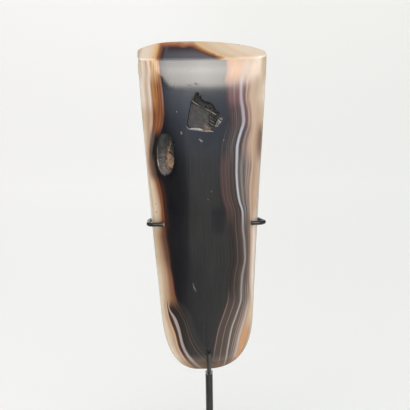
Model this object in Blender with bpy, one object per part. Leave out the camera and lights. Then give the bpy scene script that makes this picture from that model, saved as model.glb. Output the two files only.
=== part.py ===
"""A polished agate adze head held upright in its museum mount.

Metres, +Z up. The blade's bevelled front looks along -Y and the mount's foot stands on Z = 0, with the
upright rod on the Z axis. The blade stands on its butt, cutting edge up.
"""

import math
from typing import NamedTuple

import bmesh
import bpy
from mathutils import Vector

# Clearance between pieces that touch
GAP = 0.0003

# Foot and rod of the mount
BASE_WIDTH = 0.110
BASE_DEPTH = 0.100
BASE_THICKNESS = 0.008
BASE_EDGE_ROUND = 0.0012
ROD_DIAMETER = 0.0053
ROD_CLEAR_HEIGHT = 0.057
ROD_SOCKET_DEPTH = 0.005
ROD_DOME_HEIGHT = 0.0016

# Bent wires of the mount
CRADLE_WIRE_DIAMETER = 0.0031
CRADLE_TIP_HEIGHT = 0.0177
CRADLE_BEND_RADIUS = 0.0065
SPINE_ABOVE_SIDE_WIRE = 0.006
SIDE_WIRE_DIAMETER = 0.0030
SIDE_WIRE_HEIGHT = 0.1108
LEFT_HOOK_REACH = 0.0095
RIGHT_HOOK_REACH = 0.0057
SIDE_HOOK_BEND_RADIUS = 0.0034
SIDE_BACK_BEND_RADIUS = 0.009
STRAIGHT_BACK_SHARE = 0.74
LEFT_LOOP_SLACK = 0.0004
RIGHT_LOOP_SLACK = 0.0032

# Blade: length, then widths and thicknesses at four heights from the butt to the cutting edge
BLADE_LENGTH = 0.2398
BUTT_WIDTH = 0.0608
MIDDLE_WIDTH = 0.0762
SHOULDER_WIDTH = 0.0900
EDGE_WIDTH = 0.0916
BUTT_THICKNESS = 0.0215
MIDDLE_THICKNESS = 0.0250
SHOULDER_THICKNESS = 0.0176
EDGE_THICKNESS = 0.0145
LEAN_TO_LEFT = 0.0016

# Rounding of the butt, and the bevel that makes the cutting edge
BUTT_CREST_X = -0.0055
EDGE_CREST_X = -0.016
BUTT_ROUND_HEIGHT = 0.049
BUTT_SIDE_FULLNESS = 3.2
BUTT_LEFT_TIP_FULLNESS = 2.17
BUTT_RIGHT_TIP_FULLNESS = 2.3
BUTT_ROUND_DEPTH = 0.019
BUTT_DEPTH_FULLNESS = 2.25
BEVEL_START = 0.228
BEVEL_RISE = math.radians(37.3)

# How full the two faces are across the blade: higher is flatter in the middle
FRONT_FLATNESS = 3.5
BACK_FLATNESS = 2.6

# Two natural hollows in the front face, placed from the rod's axis and the butt. Outlines are in mm
CRYSTAL_PIT_CENTRE = (-0.0035, 0.1870)
CRYSTAL_FLOOR_OUTLINE = ((-6.1, 12.3), (1.3, 7.2), (10.9, 1.4), (14.0, 0.6), (11.0, -4.4), (9.2, -10.5),
                         (2.1, -10.1), (-8.6, -8.3), (-9.8, -6.3))
CRYSTAL_FLOOR_DEPTH = 0.0030
CRYSTAL_LEDGE_OUTLINE = ((-6.1, 12.3), (-2.0, 17.6), (1.6, 12.1), (7.6, 9.2), (11.2, 4.3), (14.3, 1.4),
                         (10.4, 0.2), (0.9, 5.8))
CRYSTAL_LEDGE_DEPTH = 0.0014
CRYSTAL_LOBE_OUTLINE = ((10.4, 1.6), (13.6, 1.6), (16.4, -0.7), (15.8, -4.0), (12.4, -7.2), (8.8, -10.0))
CRYSTAL_LOBE_DEPTH = 0.0009
CRYSTAL_WALL_TAPER = 0.94
EYE_PIT_CENTRE = (-0.0285, 0.1608)
EYE_PIT_WIDTH = 0.0124
EYE_PIT_HEIGHT = 0.0296
EYE_PIT_DEPTH = 0.0036
CUTTER_OVERSHOOT = 0.006
MM = 0.001

# Fineness of the meshes
BLADE_SEGMENTS = 60
BLADE_RINGS = 45
CLOSE_RING_SHARE = 0.36
CLOSE_RINGS_HEIGHT = 0.036
RINGS_PAST_EDGE = 0.0096
EYE_PIT_SEGMENTS = 20
EYE_PIT_RINGS = 12
WIRE_BEVEL_RESOLUTION = 3
BEND_STEPS = 6
ROD_SEGMENTS = 24
DOME_STEPS = 4
SLOT_BOTTOM_STEPS = 5
SLOT_BOTTOM_SHARE = 0.98
EDGE_ROUND_STEPS = 2
SMOOTH_BELOW = math.radians(35)
SAME_PLACE = 1e-6

# Worked out from the sizes above
WIRE_RADIUS = CRADLE_WIRE_DIAMETER / 2
SIDE_RADIUS = SIDE_WIRE_DIAMETER / 2
ROD_RADIUS = ROD_DIAMETER / 2
BUTT_HEIGHT = BASE_THICKNESS + ROD_CLEAR_HEIGHT


class Station(NamedTuple):
    """One level of the blade: where its outline and faces lie there, in metres from the rod's axis."""

    height: float
    crest: float
    left: float
    right: float
    front: float
    back: float
    left_front: float
    left_back: float
    right_front: float
    right_back: float
    back_roundness: float


def station(share, crest, width, thickness, lean, left_side, right_side, back_roundness):
    """A station from its sizes. The lines of its sides are shares of the thickness, back from the middle."""
    return Station(
        height=share * BLADE_LENGTH,
        crest=crest,
        left=-width / 2 - lean,
        right=width / 2 - lean,
        front=-thickness / 2,
        back=thickness / 2,
        left_front=left_side[0] * thickness,
        left_back=left_side[1] * thickness,
        right_front=right_side[0] * thickness,
        right_back=right_side[1] * thickness,
        back_roundness=back_roundness,
    )


STATIONS = (
    station(0.0, BUTT_CREST_X, BUTT_WIDTH, BUTT_THICKNESS, 0, (-0.18, 0.14), (-0.18, 0.10), 2.0),
    station(0.468, BUTT_CREST_X, MIDDLE_WIDTH, MIDDLE_THICKNESS, LEAN_TO_LEFT,
            (-0.16, 0.10), (-0.22, -0.06), 2.0),
    station(0.9, EDGE_CREST_X, SHOULDER_WIDTH, SHOULDER_THICKNESS, LEAN_TO_LEFT,
            (-0.34, 0.02), (-0.24, -0.17), 1.6),
    station(1.0, EDGE_CREST_X, EDGE_WIDTH, EDGE_THICKNESS, LEAN_TO_LEFT,
            (-0.42, -0.05), (-0.30, -0.28), 1.25),
)


def level(height):
    """The station at any height, on smooth curves through the named ones."""
    last = len(STATIONS) - 1
    lower = max(i for i in range(last) if i == 0 or STATIONS[i].height <= height)
    before, start = STATIONS[max(lower - 1, 0)], STATIONS[lower]
    end, after = STATIONS[lower + 1], STATIONS[min(lower + 2, last)]
    span = end.height - start.height
    t = (height - start.height) / span
    if t > 1:
        return Station(*(e + (e - s) * (t - 1) for s, e in zip(start, end)))
    values = []
    for a, b, c, d in zip(before, start, end, after):
        slope_b = (c - a) / (end.height - before.height) * span
        slope_c = (d - b) / (after.height - start.height) * span
        values.append(
            (2 * t**3 - 3 * t**2 + 1) * b
            + (t**3 - 2 * t**2 + t) * slope_b
            + (3 * t**2 - 2 * t**3) * c
            + (t**3 - t**2) * slope_c
        )
    return Station(*values)


def rounding(height, full_height, side_fullness, tip_fullness):
    """0 at the butt's lowest point, growing to 1 where its rounding ends."""
    if height >= full_height:
        return 1.0
    return (1 - (1 - height / full_height) ** side_fullness) ** (1 / tip_fullness)


def depth_rounding(height):
    return rounding(height, BUTT_ROUND_DEPTH, BUTT_DEPTH_FULLNESS, BUTT_DEPTH_FULLNESS)


def half_width(here, height, left_side):
    """Signed distance from the crest to the blade's left or right side."""
    if left_side:
        side, tip_fullness = here.left, BUTT_LEFT_TIP_FULLNESS
    else:
        side, tip_fullness = here.right, BUTT_RIGHT_TIP_FULLNESS
    return (side - here.crest) * rounding(height, BUTT_ROUND_HEIGHT, BUTT_SIDE_FULLNESS, tip_fullness)


def across(here, x, height):
    """How far x lies from the crest towards the side, 0 to 1, and whether that is the left side."""
    left_side = x < here.crest
    return min((x - here.crest) / half_width(here, height, left_side), 1.0), left_side


def front_y(x, height):
    """Y of the blade's front face."""
    here = level(height)
    reach, left_side = across(here, x, height)
    side = here.left_front if left_side else here.right_front
    crown = (1 - reach**FRONT_FLATNESS) ** (1 / FRONT_FLATNESS)
    return (side + (here.front - side) * crown) * depth_rounding(height)


def back_y(x, height):
    """Y of the blade's back face."""
    here = level(height)
    reach, left_side = across(here, x, height)
    side = here.left_back if left_side else here.right_back
    crown = (1 - reach**BACK_FLATNESS) ** (1 / here.back_roundness)
    return (side + (here.back - side) * crown) * depth_rounding(height)


def around(height, angle):
    """A point of the blade's outline at this height. Angle 0 is the right side and -90 degrees the front."""
    here = level(height)
    cosine, sine = math.cos(angle), math.sin(angle)
    left_side, at_front = cosine < 0, sine < 0
    if at_front:
        side = here.left_front if left_side else here.right_front
        crest, flatness, roundness = here.front, FRONT_FLATNESS, FRONT_FLATNESS
    else:
        side = here.left_back if left_side else here.right_back
        crest, flatness, roundness = here.back, BACK_FLATNESS, here.back_roundness
    if abs(sine) < SAME_PLACE and left_side:
        side = crest = (here.left_front + here.left_back) / 2
    elif abs(sine) < SAME_PLACE:
        side = crest = (here.right_front + here.right_back) / 2
    x = here.crest + half_width(here, height, left_side) * abs(cosine) ** (2 / flatness)
    y = (side + (crest - side) * abs(sine) ** (2 / roundness)) * depth_rounding(height)
    return Vector((x, y, BUTT_HEIGHT + height))


def ring_height(share):
    """Height of a ring from its share of the way up: close rings round the butt, even ones above."""
    if share < CLOSE_RING_SHARE:
        return CLOSE_RINGS_HEIGHT * (share / CLOSE_RING_SHARE) ** 2
    even_span = BLADE_LENGTH + RINGS_PAST_EDGE - CLOSE_RINGS_HEIGHT
    return CLOSE_RINGS_HEIGHT + even_span * (share - CLOSE_RING_SHARE) / (1 - CLOSE_RING_SHARE)


def material(name, colour, roughness, metallic=0.0):
    made = bpy.data.materials.new(name)
    made.use_nodes = True
    shader = made.node_tree.nodes["Principled BSDF"]
    shader.inputs["Base Color"].default_value = (*colour, 1.0)
    shader.inputs["Roughness"].default_value = roughness
    shader.inputs["Metallic"].default_value = metallic
    return made


def add_object(name, data, finish=None):
    made = bpy.data.objects.new(name, data)
    bpy.context.scene.collection.objects.link(made)
    if finish:
        data.materials.append(finish)
    return made


def mesh_from(bm, name):
    bmesh.ops.recalc_face_normals(bm, faces=bm.faces)
    mesh = bpy.data.meshes.new(name)
    bm.to_mesh(mesh)
    bm.free()
    mesh.shade_smooth()
    mesh.set_sharp_from_angle(angle=SMOOTH_BELOW)
    return mesh


def cut(target, cutter):
    """Takes cutter away from target, and keeps it as a hidden guide."""
    cutter.hide_render = True
    cutter.display_type = "WIRE"
    boolean = target.modifiers.new("Cut " + cutter.name, "BOOLEAN")
    boolean.operation = "DIFFERENCE"
    boolean.solver = "EXACT"
    boolean.object = cutter


def prism(name, outline, floor_y, mouth_y):
    """A closed block with this outline of (x, height) points. It narrows from mouth_y in to floor_y."""
    centre = sum((Vector(point) for point in outline), Vector((0, 0))) / len(outline)
    bm = bmesh.new()
    floor = []
    for x, height in outline:
        inner = centre + (Vector((x, height)) - centre) * CRYSTAL_WALL_TAPER
        floor.append(bm.verts.new((inner.x, floor_y, BUTT_HEIGHT + inner.y)))
    face = bm.faces.new(floor)
    made = bmesh.ops.extrude_face_region(bm, geom=[face])["geom"]
    mouth = [part for part in made if isinstance(part, bmesh.types.BMVert)]
    for vertex in mouth:
        flat = Vector((vertex.co.x, vertex.co.z - BUTT_HEIGHT))
        outer = centre + (flat - centre) / CRYSTAL_WALL_TAPER
        vertex.co = (outer.x, mouth_y, BUTT_HEIGHT + outer.y)
    return add_object(name, mesh_from(bm, name))


def crystal_pit_cutters():
    """The larger hollow: a floor of broken crystal, a ledge along its upper side and a shallow lobe."""
    centre_x, centre_height = CRYSTAL_PIT_CENTRE
    surface = front_y(centre_x, centre_height)
    cutters = []
    for name, outline, depth in (
        ("crystal_floor_cutter", CRYSTAL_FLOOR_OUTLINE, CRYSTAL_FLOOR_DEPTH),
        ("crystal_ledge_cutter", CRYSTAL_LEDGE_OUTLINE, CRYSTAL_LEDGE_DEPTH),
        ("crystal_lobe_cutter", CRYSTAL_LOBE_OUTLINE, CRYSTAL_LOBE_DEPTH),
    ):
        placed = [(centre_x + x * MM, centre_height + height * MM) for x, height in outline]
        cutters.append(prism(name, placed, surface + depth, surface - CUTTER_OVERSHOOT))
    return cutters


def eye_pit_cutter():
    """The smaller hollow: an upright oval bowl."""
    x, height = EYE_PIT_CENTRE
    bm = bmesh.new()
    bmesh.ops.create_uvsphere(bm, u_segments=EYE_PIT_SEGMENTS, v_segments=EYE_PIT_RINGS, radius=1)
    bmesh.ops.scale(bm, vec=(EYE_PIT_WIDTH / 2, EYE_PIT_DEPTH, EYE_PIT_HEIGHT / 2), verts=bm.verts)
    bmesh.ops.translate(bm, vec=(x, front_y(x, height), BUTT_HEIGHT + height), verts=bm.verts)
    return add_object("eye_pit_cutter", mesh_from(bm, "eye_pit_cutter"))


def build_blade(finish):
    bm = bmesh.new()
    bmesh.ops.create_uvsphere(bm, u_segments=BLADE_SEGMENTS, v_segments=BLADE_RINGS, radius=1)
    for vertex in bm.verts:
        share = math.acos(max(-1.0, min(1.0, -vertex.co.z))) / math.pi
        height = ring_height(share)
        if Vector(vertex.co.xy).length < SAME_PLACE:
            vertex.co = (level(height).crest, 0, BUTT_HEIGHT + height)
        else:
            vertex.co = around(height, math.atan2(vertex.co.y, vertex.co.x))
    start = Vector((0, front_y(EDGE_CREST_X, BEVEL_START), BUTT_HEIGHT + BEVEL_START))
    facing = Vector((0, -math.sin(BEVEL_RISE), math.cos(BEVEL_RISE)))
    whole = [*bm.verts, *bm.edges, *bm.faces]
    bmesh.ops.bisect_plane(bm, geom=whole, plane_co=start, plane_no=facing, clear_outer=True)
    bmesh.ops.holes_fill(bm, edges=[edge for edge in bm.edges if edge.is_boundary])
    blade = add_object("adze", mesh_from(bm, "adze"), finish)
    for cutter in (*crystal_pit_cutters(), eye_pit_cutter()):
        cut(blade, cutter)
    return blade


def bent_path(corners, radii):
    """Points of a wire bent at these corners, each bend an arc of its own radius."""
    points = [corners[0]]
    for before, corner, after, radius in zip(corners, corners[1:], corners[2:], radii):
        into = (corner - before).normalized()
        out = (after - corner).normalized()
        turn = into.angle(out)
        set_back = radius * math.tan(turn / 2)
        centre = corner - into * set_back + (out - into * into.dot(out)).normalized() * radius
        arm = corner - into * set_back - centre
        for i in range(BEND_STEPS + 1):
            swing = turn * i / BEND_STEPS
            points.append(centre + arm * math.cos(swing) + into * radius * math.sin(swing))
    points.append(corners[-1])
    return points


def build_wire(name, points, radius, finish):
    curve = bpy.data.curves.new(name, "CURVE")
    curve.dimensions = "3D"
    curve.bevel_depth = radius
    curve.bevel_resolution = WIRE_BEVEL_RESOLUTION
    curve.use_fill_caps = True
    spline = curve.splines.new("POLY")
    spline.points.add(len(points) - 1)
    for point, place in zip(spline.points, points):
        point.co = (*place, 1)
    return add_object(name, curve, finish)


def cradle_corners():
    """Front tip, down the front of the butt, under it, and up the back to just above the side wire."""
    away = WIRE_RADIUS + GAP
    front = front_y(0, CRADLE_TIP_HEIGHT) - away
    floor = BUTT_HEIGHT - away
    spine_top = SIDE_WIRE_HEIGHT + SPINE_ABOVE_SIDE_WIRE
    back_low = back_y(0, CRADLE_TIP_HEIGHT) + away
    back_high = back_y(0, SIDE_WIRE_HEIGHT) + away
    slope = (back_high - back_low) / (SIDE_WIRE_HEIGHT - CRADLE_TIP_HEIGHT)
    return [
        Vector((0, front, BUTT_HEIGHT + CRADLE_TIP_HEIGHT)),
        Vector((0, front, floor)),
        Vector((0, back_low - slope * CRADLE_TIP_HEIGHT, floor)),
        Vector((0, back_low + slope * (spine_top - CRADLE_TIP_HEIGHT), BUTT_HEIGHT + spine_top)),
    ]


def side_wire_corners():
    """Left tip, round the left edge, across behind the spine, round the right edge, right tip."""
    here = level(SIDE_WIRE_HEIGHT)
    away = SIDE_RADIUS + GAP
    z = BUTT_HEIGHT + SIDE_WIRE_HEIGHT
    behind = back_y(0, SIDE_WIRE_HEIGHT) + 2 * (WIRE_RADIUS + GAP) + SIDE_RADIUS
    left_out = here.left - away - LEFT_LOOP_SLACK
    right_out = here.right + away + RIGHT_LOOP_SLACK
    left_tip = here.left + LEFT_HOOK_REACH
    right_tip = here.right - RIGHT_HOOK_REACH
    front_left = front_y(left_tip, SIDE_WIRE_HEIGHT) - away
    front_right = front_y(right_tip, SIDE_WIRE_HEIGHT) - away
    return [
        Vector((left_tip, front_left, z)),
        Vector((left_out, front_left, z)),
        Vector((left_out, here.left_back + away, z)),
        Vector((left_out * STRAIGHT_BACK_SHARE, behind, z)),
        Vector((right_out * STRAIGHT_BACK_SHARE, behind, z)),
        Vector((here.right + away, here.right_back + away, z)),
        Vector((right_out, (front_right + here.right_front) / 2, z)),
        Vector((right_out - RIGHT_LOOP_SLACK, front_right, z)),
        Vector((right_tip, front_right, z)),
    ]


def build_rod(finish):
    """A round bar with a domed top, slotted across so that the cradle wire lies in it."""
    top = BUTT_HEIGHT - 2 * GAP
    foot = BASE_THICKNESS - ROD_SOCKET_DEPTH + GAP
    profile = [Vector((0, 0, foot)), Vector((ROD_RADIUS, 0, foot))]
    for i in range(DOME_STEPS + 1):
        swing = math.radians(90) * i / DOME_STEPS
        dome_radius = ROD_RADIUS * math.cos(swing)
        profile.append(Vector((dome_radius, 0, top - ROD_DOME_HEIGHT * (1 - math.sin(swing)))))
    bm = bmesh.new()
    verts = [bm.verts.new(point) for point in profile]
    edges = [bm.edges.new(pair) for pair in zip(verts, verts[1:])]
    bmesh.ops.spin(bm, geom=verts + edges, cent=(0, 0, 0), axis=(0, 0, 1), angle=math.tau,
                   steps=ROD_SEGMENTS, use_merge=True)
    bmesh.ops.remove_doubles(bm, verts=bm.verts, dist=SAME_PLACE)
    rod = add_object("upright_rod", mesh_from(bm, "upright_rod"), finish)
    cut(rod, wire_slot_cutter(top))
    return rod


def wire_slot_cutter(top):
    """A slot with a round bottom that holds the cradle wire with a gap all round."""
    half = WIRE_RADIUS + GAP
    floor = BUTT_HEIGHT - 2 * half
    height = top - floor + half
    bm = bmesh.new()
    bmesh.ops.create_cube(bm, size=1)
    bmesh.ops.scale(bm, vec=(2 * half, 2 * ROD_DIAMETER, height), verts=bm.verts)
    bmesh.ops.translate(bm, vec=(0, 0, floor + height / 2), verts=bm.verts)
    along_floor = [edge for edge in bm.edges
                   if all(vertex.co.z < floor + SAME_PLACE for vertex in edge.verts)
                   and abs(edge.verts[0].co.y - edge.verts[1].co.y) > ROD_DIAMETER]
    bmesh.ops.bevel(bm, geom=along_floor, offset=half * SLOT_BOTTOM_SHARE, offset_type="OFFSET",
                    segments=SLOT_BOTTOM_STEPS, profile=0.5, affect="EDGES", material=-1)
    return add_object("wire_slot_cutter", mesh_from(bm, "wire_slot_cutter"))


def build_base(finish):
    """The foot: a flat plate with eased edges and a blind socket for the rod."""
    bm = bmesh.new()
    bmesh.ops.create_cube(bm, size=1)
    bmesh.ops.scale(bm, vec=(BASE_WIDTH, BASE_DEPTH, BASE_THICKNESS), verts=bm.verts)
    bmesh.ops.translate(bm, vec=(0, 0, BASE_THICKNESS / 2), verts=bm.verts)
    bmesh.ops.bevel(bm, geom=list(bm.edges), offset=BASE_EDGE_ROUND, offset_type="OFFSET",
                    segments=EDGE_ROUND_STEPS, profile=0.5, affect="EDGES", material=-1)
    base = add_object("base_plate", mesh_from(bm, "base_plate"), finish)
    socket = bmesh.new()
    depth = ROD_SOCKET_DEPTH + CUTTER_OVERSHOOT
    bmesh.ops.create_cone(socket, cap_ends=True, segments=ROD_SEGMENTS, depth=depth,
                          radius1=ROD_RADIUS + GAP, radius2=ROD_RADIUS + GAP)
    middle = BASE_THICKNESS - ROD_SOCKET_DEPTH + depth / 2
    bmesh.ops.translate(socket, vec=(0, 0, middle), verts=socket.verts)
    cut(base, add_object("rod_socket_cutter", mesh_from(socket, "rod_socket_cutter")))
    return base


def main():
    for old in list(bpy.data.objects):
        bpy.data.objects.remove(old)
    build_blade(material("banded_agate", (0.045, 0.035, 0.03), 0.12))
    build_base(material("black_painted_foot", (0.016, 0.016, 0.017), 0.5))
    build_rod(material("black_painted_rod", (0.018, 0.018, 0.019), 0.42))
    cradle = bent_path(cradle_corners(), [CRADLE_BEND_RADIUS] * 2)
    build_wire("cradle_wire", cradle, WIRE_RADIUS, material("black_cradle_wire", (0.020, 0.020, 0.021), 0.36))
    bends = [SIDE_HOOK_BEND_RADIUS, *[SIDE_BACK_BEND_RADIUS] * 4, *[SIDE_HOOK_BEND_RADIUS] * 2]
    side = bent_path(side_wire_corners(), bends)
    build_wire("side_wire", side, SIDE_RADIUS, material("black_side_wire", (0.020, 0.020, 0.021), 0.38))


main()
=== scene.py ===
"""The looks of an agate adze on its museum mount: the stone's surface and banding, the paint and the stage.

It is laid out as an add-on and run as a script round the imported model. Sizes are in metres, unless a name or
a comment says mm.
"""

import math

import bmesh
import bpy
import numpy as np
from bpy.props import FloatProperty, FloatVectorProperty, PointerProperty
from mathutils import Matrix, Vector, noise


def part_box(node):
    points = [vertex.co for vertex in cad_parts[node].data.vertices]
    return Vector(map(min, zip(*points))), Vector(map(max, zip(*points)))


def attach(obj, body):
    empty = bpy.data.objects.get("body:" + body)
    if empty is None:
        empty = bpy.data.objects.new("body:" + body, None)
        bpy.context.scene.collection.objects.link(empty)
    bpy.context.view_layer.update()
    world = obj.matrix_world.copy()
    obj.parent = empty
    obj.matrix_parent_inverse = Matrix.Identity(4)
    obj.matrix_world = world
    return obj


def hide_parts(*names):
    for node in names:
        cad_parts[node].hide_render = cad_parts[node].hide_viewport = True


bl_info = {
    "name": "Agate adze on its mount",
    "version": (1, 0, 0),
    "blender": (4, 5, 0),
    "location": "3D View > Sidebar > Adze",
    "description": "Dresses the packed adze and its mount, and sets the stage, lights and camera",
    "category": "Object",
}

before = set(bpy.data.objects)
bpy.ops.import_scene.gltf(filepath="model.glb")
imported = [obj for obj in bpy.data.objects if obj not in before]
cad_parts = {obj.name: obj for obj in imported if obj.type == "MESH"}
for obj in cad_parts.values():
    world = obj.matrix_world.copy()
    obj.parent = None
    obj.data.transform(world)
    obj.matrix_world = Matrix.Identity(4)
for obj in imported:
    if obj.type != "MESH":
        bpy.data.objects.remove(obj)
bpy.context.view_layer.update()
BLADE_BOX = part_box("adze")

MM = 0.001

# The blade's form, as the solid has it: its butt's lowest point is BUTT_HEIGHT above the floor
BUTT_HEIGHT = round(BLADE_BOX[0].z, 4)
ROD_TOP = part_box("upright_rod")[1].z
BLADE_LENGTH = 0.2398
BUTT_ROUND_HEIGHT = 0.049
BUTT_SIDE_FULLNESS = 3.2
BUTT_LEFT_TIP_FULLNESS = 2.17
BUTT_RIGHT_TIP_FULLNESS = 2.3
BUTT_ROUND_DEPTH = 0.019
BUTT_DEPTH_FULLNESS = 2.25
BEVEL_START = 0.228
BEVEL_RISE = math.radians(37.3)
FRONT_FLATNESS = 3.5
BACK_FLATNESS = 2.6
EDGE_CREST_X = -0.016
BUTT_CREST_X = -0.0055
LEAN = 0.0016

# The mount, as the solids have it
GAP = 0.0003
WIRE_RADIUS = 0.0031 / 2
SIDE_RADIUS = 0.0030 / 2
CRADLE_TIP_HEIGHT = 0.0177
CRADLE_BEND_RADIUS = 0.0065
SPINE_ABOVE_SIDE_WIRE = 0.006
SIDE_WIRE_HEIGHT = 0.1108
LEFT_HOOK_REACH = 0.0095
RIGHT_HOOK_REACH = 0.0057
SIDE_HOOK_BEND_RADIUS = 0.0034
SIDE_BACK_BEND_RADIUS = 0.009
STRAIGHT_BACK_SHARE = 0.74
LEFT_LOOP_SLACK = 0.0004
RIGHT_LOOP_SLACK = 0.0032

# Fineness of the wires' meshes, their ends, and how far up from a tip the wear and its painted highlight reach
WIRE_SIDES = 20
BEND_STEPS = 12
END_STEPS = 5
RING_SPACING = 0.002
CUT_CHAMFER = 0.00025
LEAST_TIP_SHARE = 0.02
TIP_WEAR_AND_HIGHLIGHT_REACH = 0.0016

# The foot's and rod's edges, which paint softens, the faces that stay flat between them, and matt paint
WELD_DISTANCE = 1e-6
FLAT_ANGLE = math.radians(1)
SHARP_ANGLE = math.radians(50)
PAINT_EDGE_ROUND = 0.00012
BROAD_FACE_AREA = 0.0003
SAME_WAY = 0.9999
MATT = 0.52

# The crystal pit, in mm from its centre on the front face: floor, ledge above the ridge and striated lobe
CRYSTAL_CENTRE = (-3.5, 187.0)
CRYSTAL_HALF_SIZE = (17.5, 18.5)
CRYSTAL_DEPTH = 0.00235
CRYSTAL_FLOOR = ((-6.1, 12.3), (1.3, 7.2), (10.9, 1.4), (14.0, 0.6), (11.0, -4.4), (9.2, -10.5),
                 (2.1, -10.1), (-8.6, -8.3), (-9.8, -6.3))
CRYSTAL_LEDGE = ((-6.1, 12.3), (-2.0, 17.6), (1.6, 12.1), (7.6, 9.2), (11.2, 4.3), (14.3, 1.4),
                 (10.4, 0.2), (0.9, 5.8))
CRYSTAL_LOBE = ((10.4, 1.6), (13.6, 1.6), (16.4, -0.7), (15.8, -4.0), (12.4, -7.2), (8.8, -10.0))
CRYSTAL_RIDGE = ((-6.6, 12.6), (-4.4, 10.2), (1.3, 6.9), (5.4, 4.6), (10.9, 1.4))
CRYSTAL_LOWER_RIM = ((-9.8, -6.6), (-9.0, -8.1), (-2.0, -8.9), (2.1, -9.4), (8.6, -10.6))
BROWN_PATCH = ((2.6, -6.4), (6.6, -7.2), (7.4, -10.2), (2.8, -10.0))
STRIA_SLANT = 0.66
STRIA_PITCH = 2.3

# The eye pit: an upright oval with brown fill on its lower right
EYE_CENTRE = (-28.5, 160.8)
EYE_HALF_WIDTH = 6.2
EYE_HALF_HEIGHT = 14.8
EYE_SQUARENESS = 2.4
EYE_DEPTH = 0.0034
EYE_FILL = ((1.0, 5.2), (2.6, 4.2), (4.6, 1.6), (6.2, -2.6), (5.6, -8.6), (2.2, -11.0), (0.2, -9.8),
            (0.6, -7.2), (-0.4, -5.4), (0.8, -3.0), (-0.2, -1.0), (1.2, 1.4), (0.4, 3.2))
EYE_VEIN = ((2.2, 1.2), (3.0, 5.0), (3.6, 8.6))
EYE_CRACK = ((3.0, 1.2), (4.6, 0.2), (5.6, -1.4))

# Grain inside the pits: each one's size in mm and its seed
CRYSTAL_ROUGH = (2.2, 3.1)
CRYSTAL_FINE = (0.8, 7.7)
EYE_ROUGH = (2.0, 11.3)
EYE_FINE = (0.7, 5.9)
EYE_GAPS = (1.4, 4.4)
EYE_LAYERS = (1.1, 2.2)

# How much finer the mesh gets in a pit, the margin in mm round it, and how deep in mm light shows in the edge
PIT_CUTS = 3
PIT_MARGIN = 1.2
FRINGE_REACH = 7.5

# Small marks, in mm: right of the axis, above the butt, radius. Then how deep as a share, and 1 if pale. The
# four dark ones just right of the pale crescent low on the blade are a painted shadow
MARKS = ((-20.1, 191.0, 0.42, 0.1, 1), (-17.0, 176.4, 0.6, 0.15, 1), (-16.7, 175.4, 0.5, 0.15, 1),
         (-4.2, 171.3, 0.6, 0.2, 1), (-3.4, 170.6, 0.65, 0.2, 1), (-2.5, 169.9, 0.6, 0.2, 1),
         (12.9, 170.4, 0.5, 0.1, 1), (3.7, 133.8, 0.4, 0.1, 1), (1.2, 128.1, 0.4, 0.1, 1),
         (-10.6, 67.4, 0.25, 0.1, 1), (-10.5, 66.4, 0.35, 0.1, 1), (-10.2, 65.2, 0.5, 0.1, 1),
         (-9.8, 64.0, 0.6, 0.1, 1), (-9.3, 62.9, 0.55, 0.1, 1), (-8.8, 61.9, 0.4, 0.1, 1),
         (-8.3, 61.1, 0.25, 0.1, 1), (-8.6, 64.6, 0.5, 0.1, 0), (-7.6, 62.4, 0.5, 0.1, 0),
         (-6.2, 59.8, 0.5, 0.1, 0), (-4.6, 57.2, 0.45, 0.1, 0), (36.6, 224.8, 0.8, 0.1, 1),
         (-6.1, 209.7, 0.75, 0.5, 0), (-10.7, 209.1, 0.55, 0.4, 0), (-9.6, 206.8, 0.4, 0.4, 0),
         (6.2, 230.4, 0.8, 0.6, 0), (24.5, 236.9, 0.5, 0.4, 0), (27.5, 236.5, 0.35, 0.3, 0),
         (22.6, 237.0, 0.35, 0.3, 0), (-36.1, 119.3, 0.6, 0.2, 0), (-36.3, 125.5, 0.5, 0.2, 0),
         (-36.0, 229.0, 0.5, 0.3, 0), (-46.4, 226.4, 0.8, 0.3, 0))

# Chips on the blade's edges, in mm: right of the axis, above the butt, half size across and up, and depth
CHIPS = ((-46.6, 226.8, 1.8, 2.6, 0.7), (-46.0, 214.0, 1.5, 5.0, 0.3), (9.3, 230.2, 1.1, 1.0, 0.3),
         (24.6, 238.6, 1.4, 1.2, 0.35), (44.6, 231.5, 1.6, 2.6, 0.5), (-22.0, 241.0, 1.8, 1.2, 0.2),
         (2.0, 242.0, 2.6, 1.0, 0.15), (38.0, 200.0, 1.6, 3.0, 0.3))

# How chips press in: only in front of a plane, hollowed by this power, towards the axis, back and down
CHIPS_IN_FRONT_OF = 0.006
CHIP_FALL_OFF = 1.5
CUTTING_EDGE_ABOVE = 225
CHIP_INWARD = 0.02
CHIP_BACK = 0.4
CHIP_DOWN = 0.1
EDGE_CHIP_DOWN = 0.5

# Fineness of the blade's mesh: rings from the butt to the facet's rim, then rings across the facet
BLADE_SEGMENTS = 224
BODY_RINGS = 252
CLOSE_RING_SHARE = 0.24
CLOSE_RINGS_HEIGHT = 0.036
EVEN_RINGS_END = 0.198
EVEN_RING_SHARE = 0.84
RIM_CLOSENESS = 0.3
FACET_RING_SHARES = (0.025, 0.055, 0.1, 0.17, 0.26, 0.36, 0.46, 0.56, 0.66, 0.76, 0.86)
FACET_RINGS = len(FACET_RING_SHARES)
RIM_STEPS = 6
OUTLINE_SAMPLES = 720
CREASE_ANGLE = math.radians(35)

# Rounding of the facet's rim: wide on the arris in front, narrow elsewhere, and a soft step between the two
ARRIS_ROUND = 0.0017
EDGE_ROUND = 0.0004
ARRIS_START = (0.05, 0.5)
MOST_ROUND_SHARE = 0.9

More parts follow.
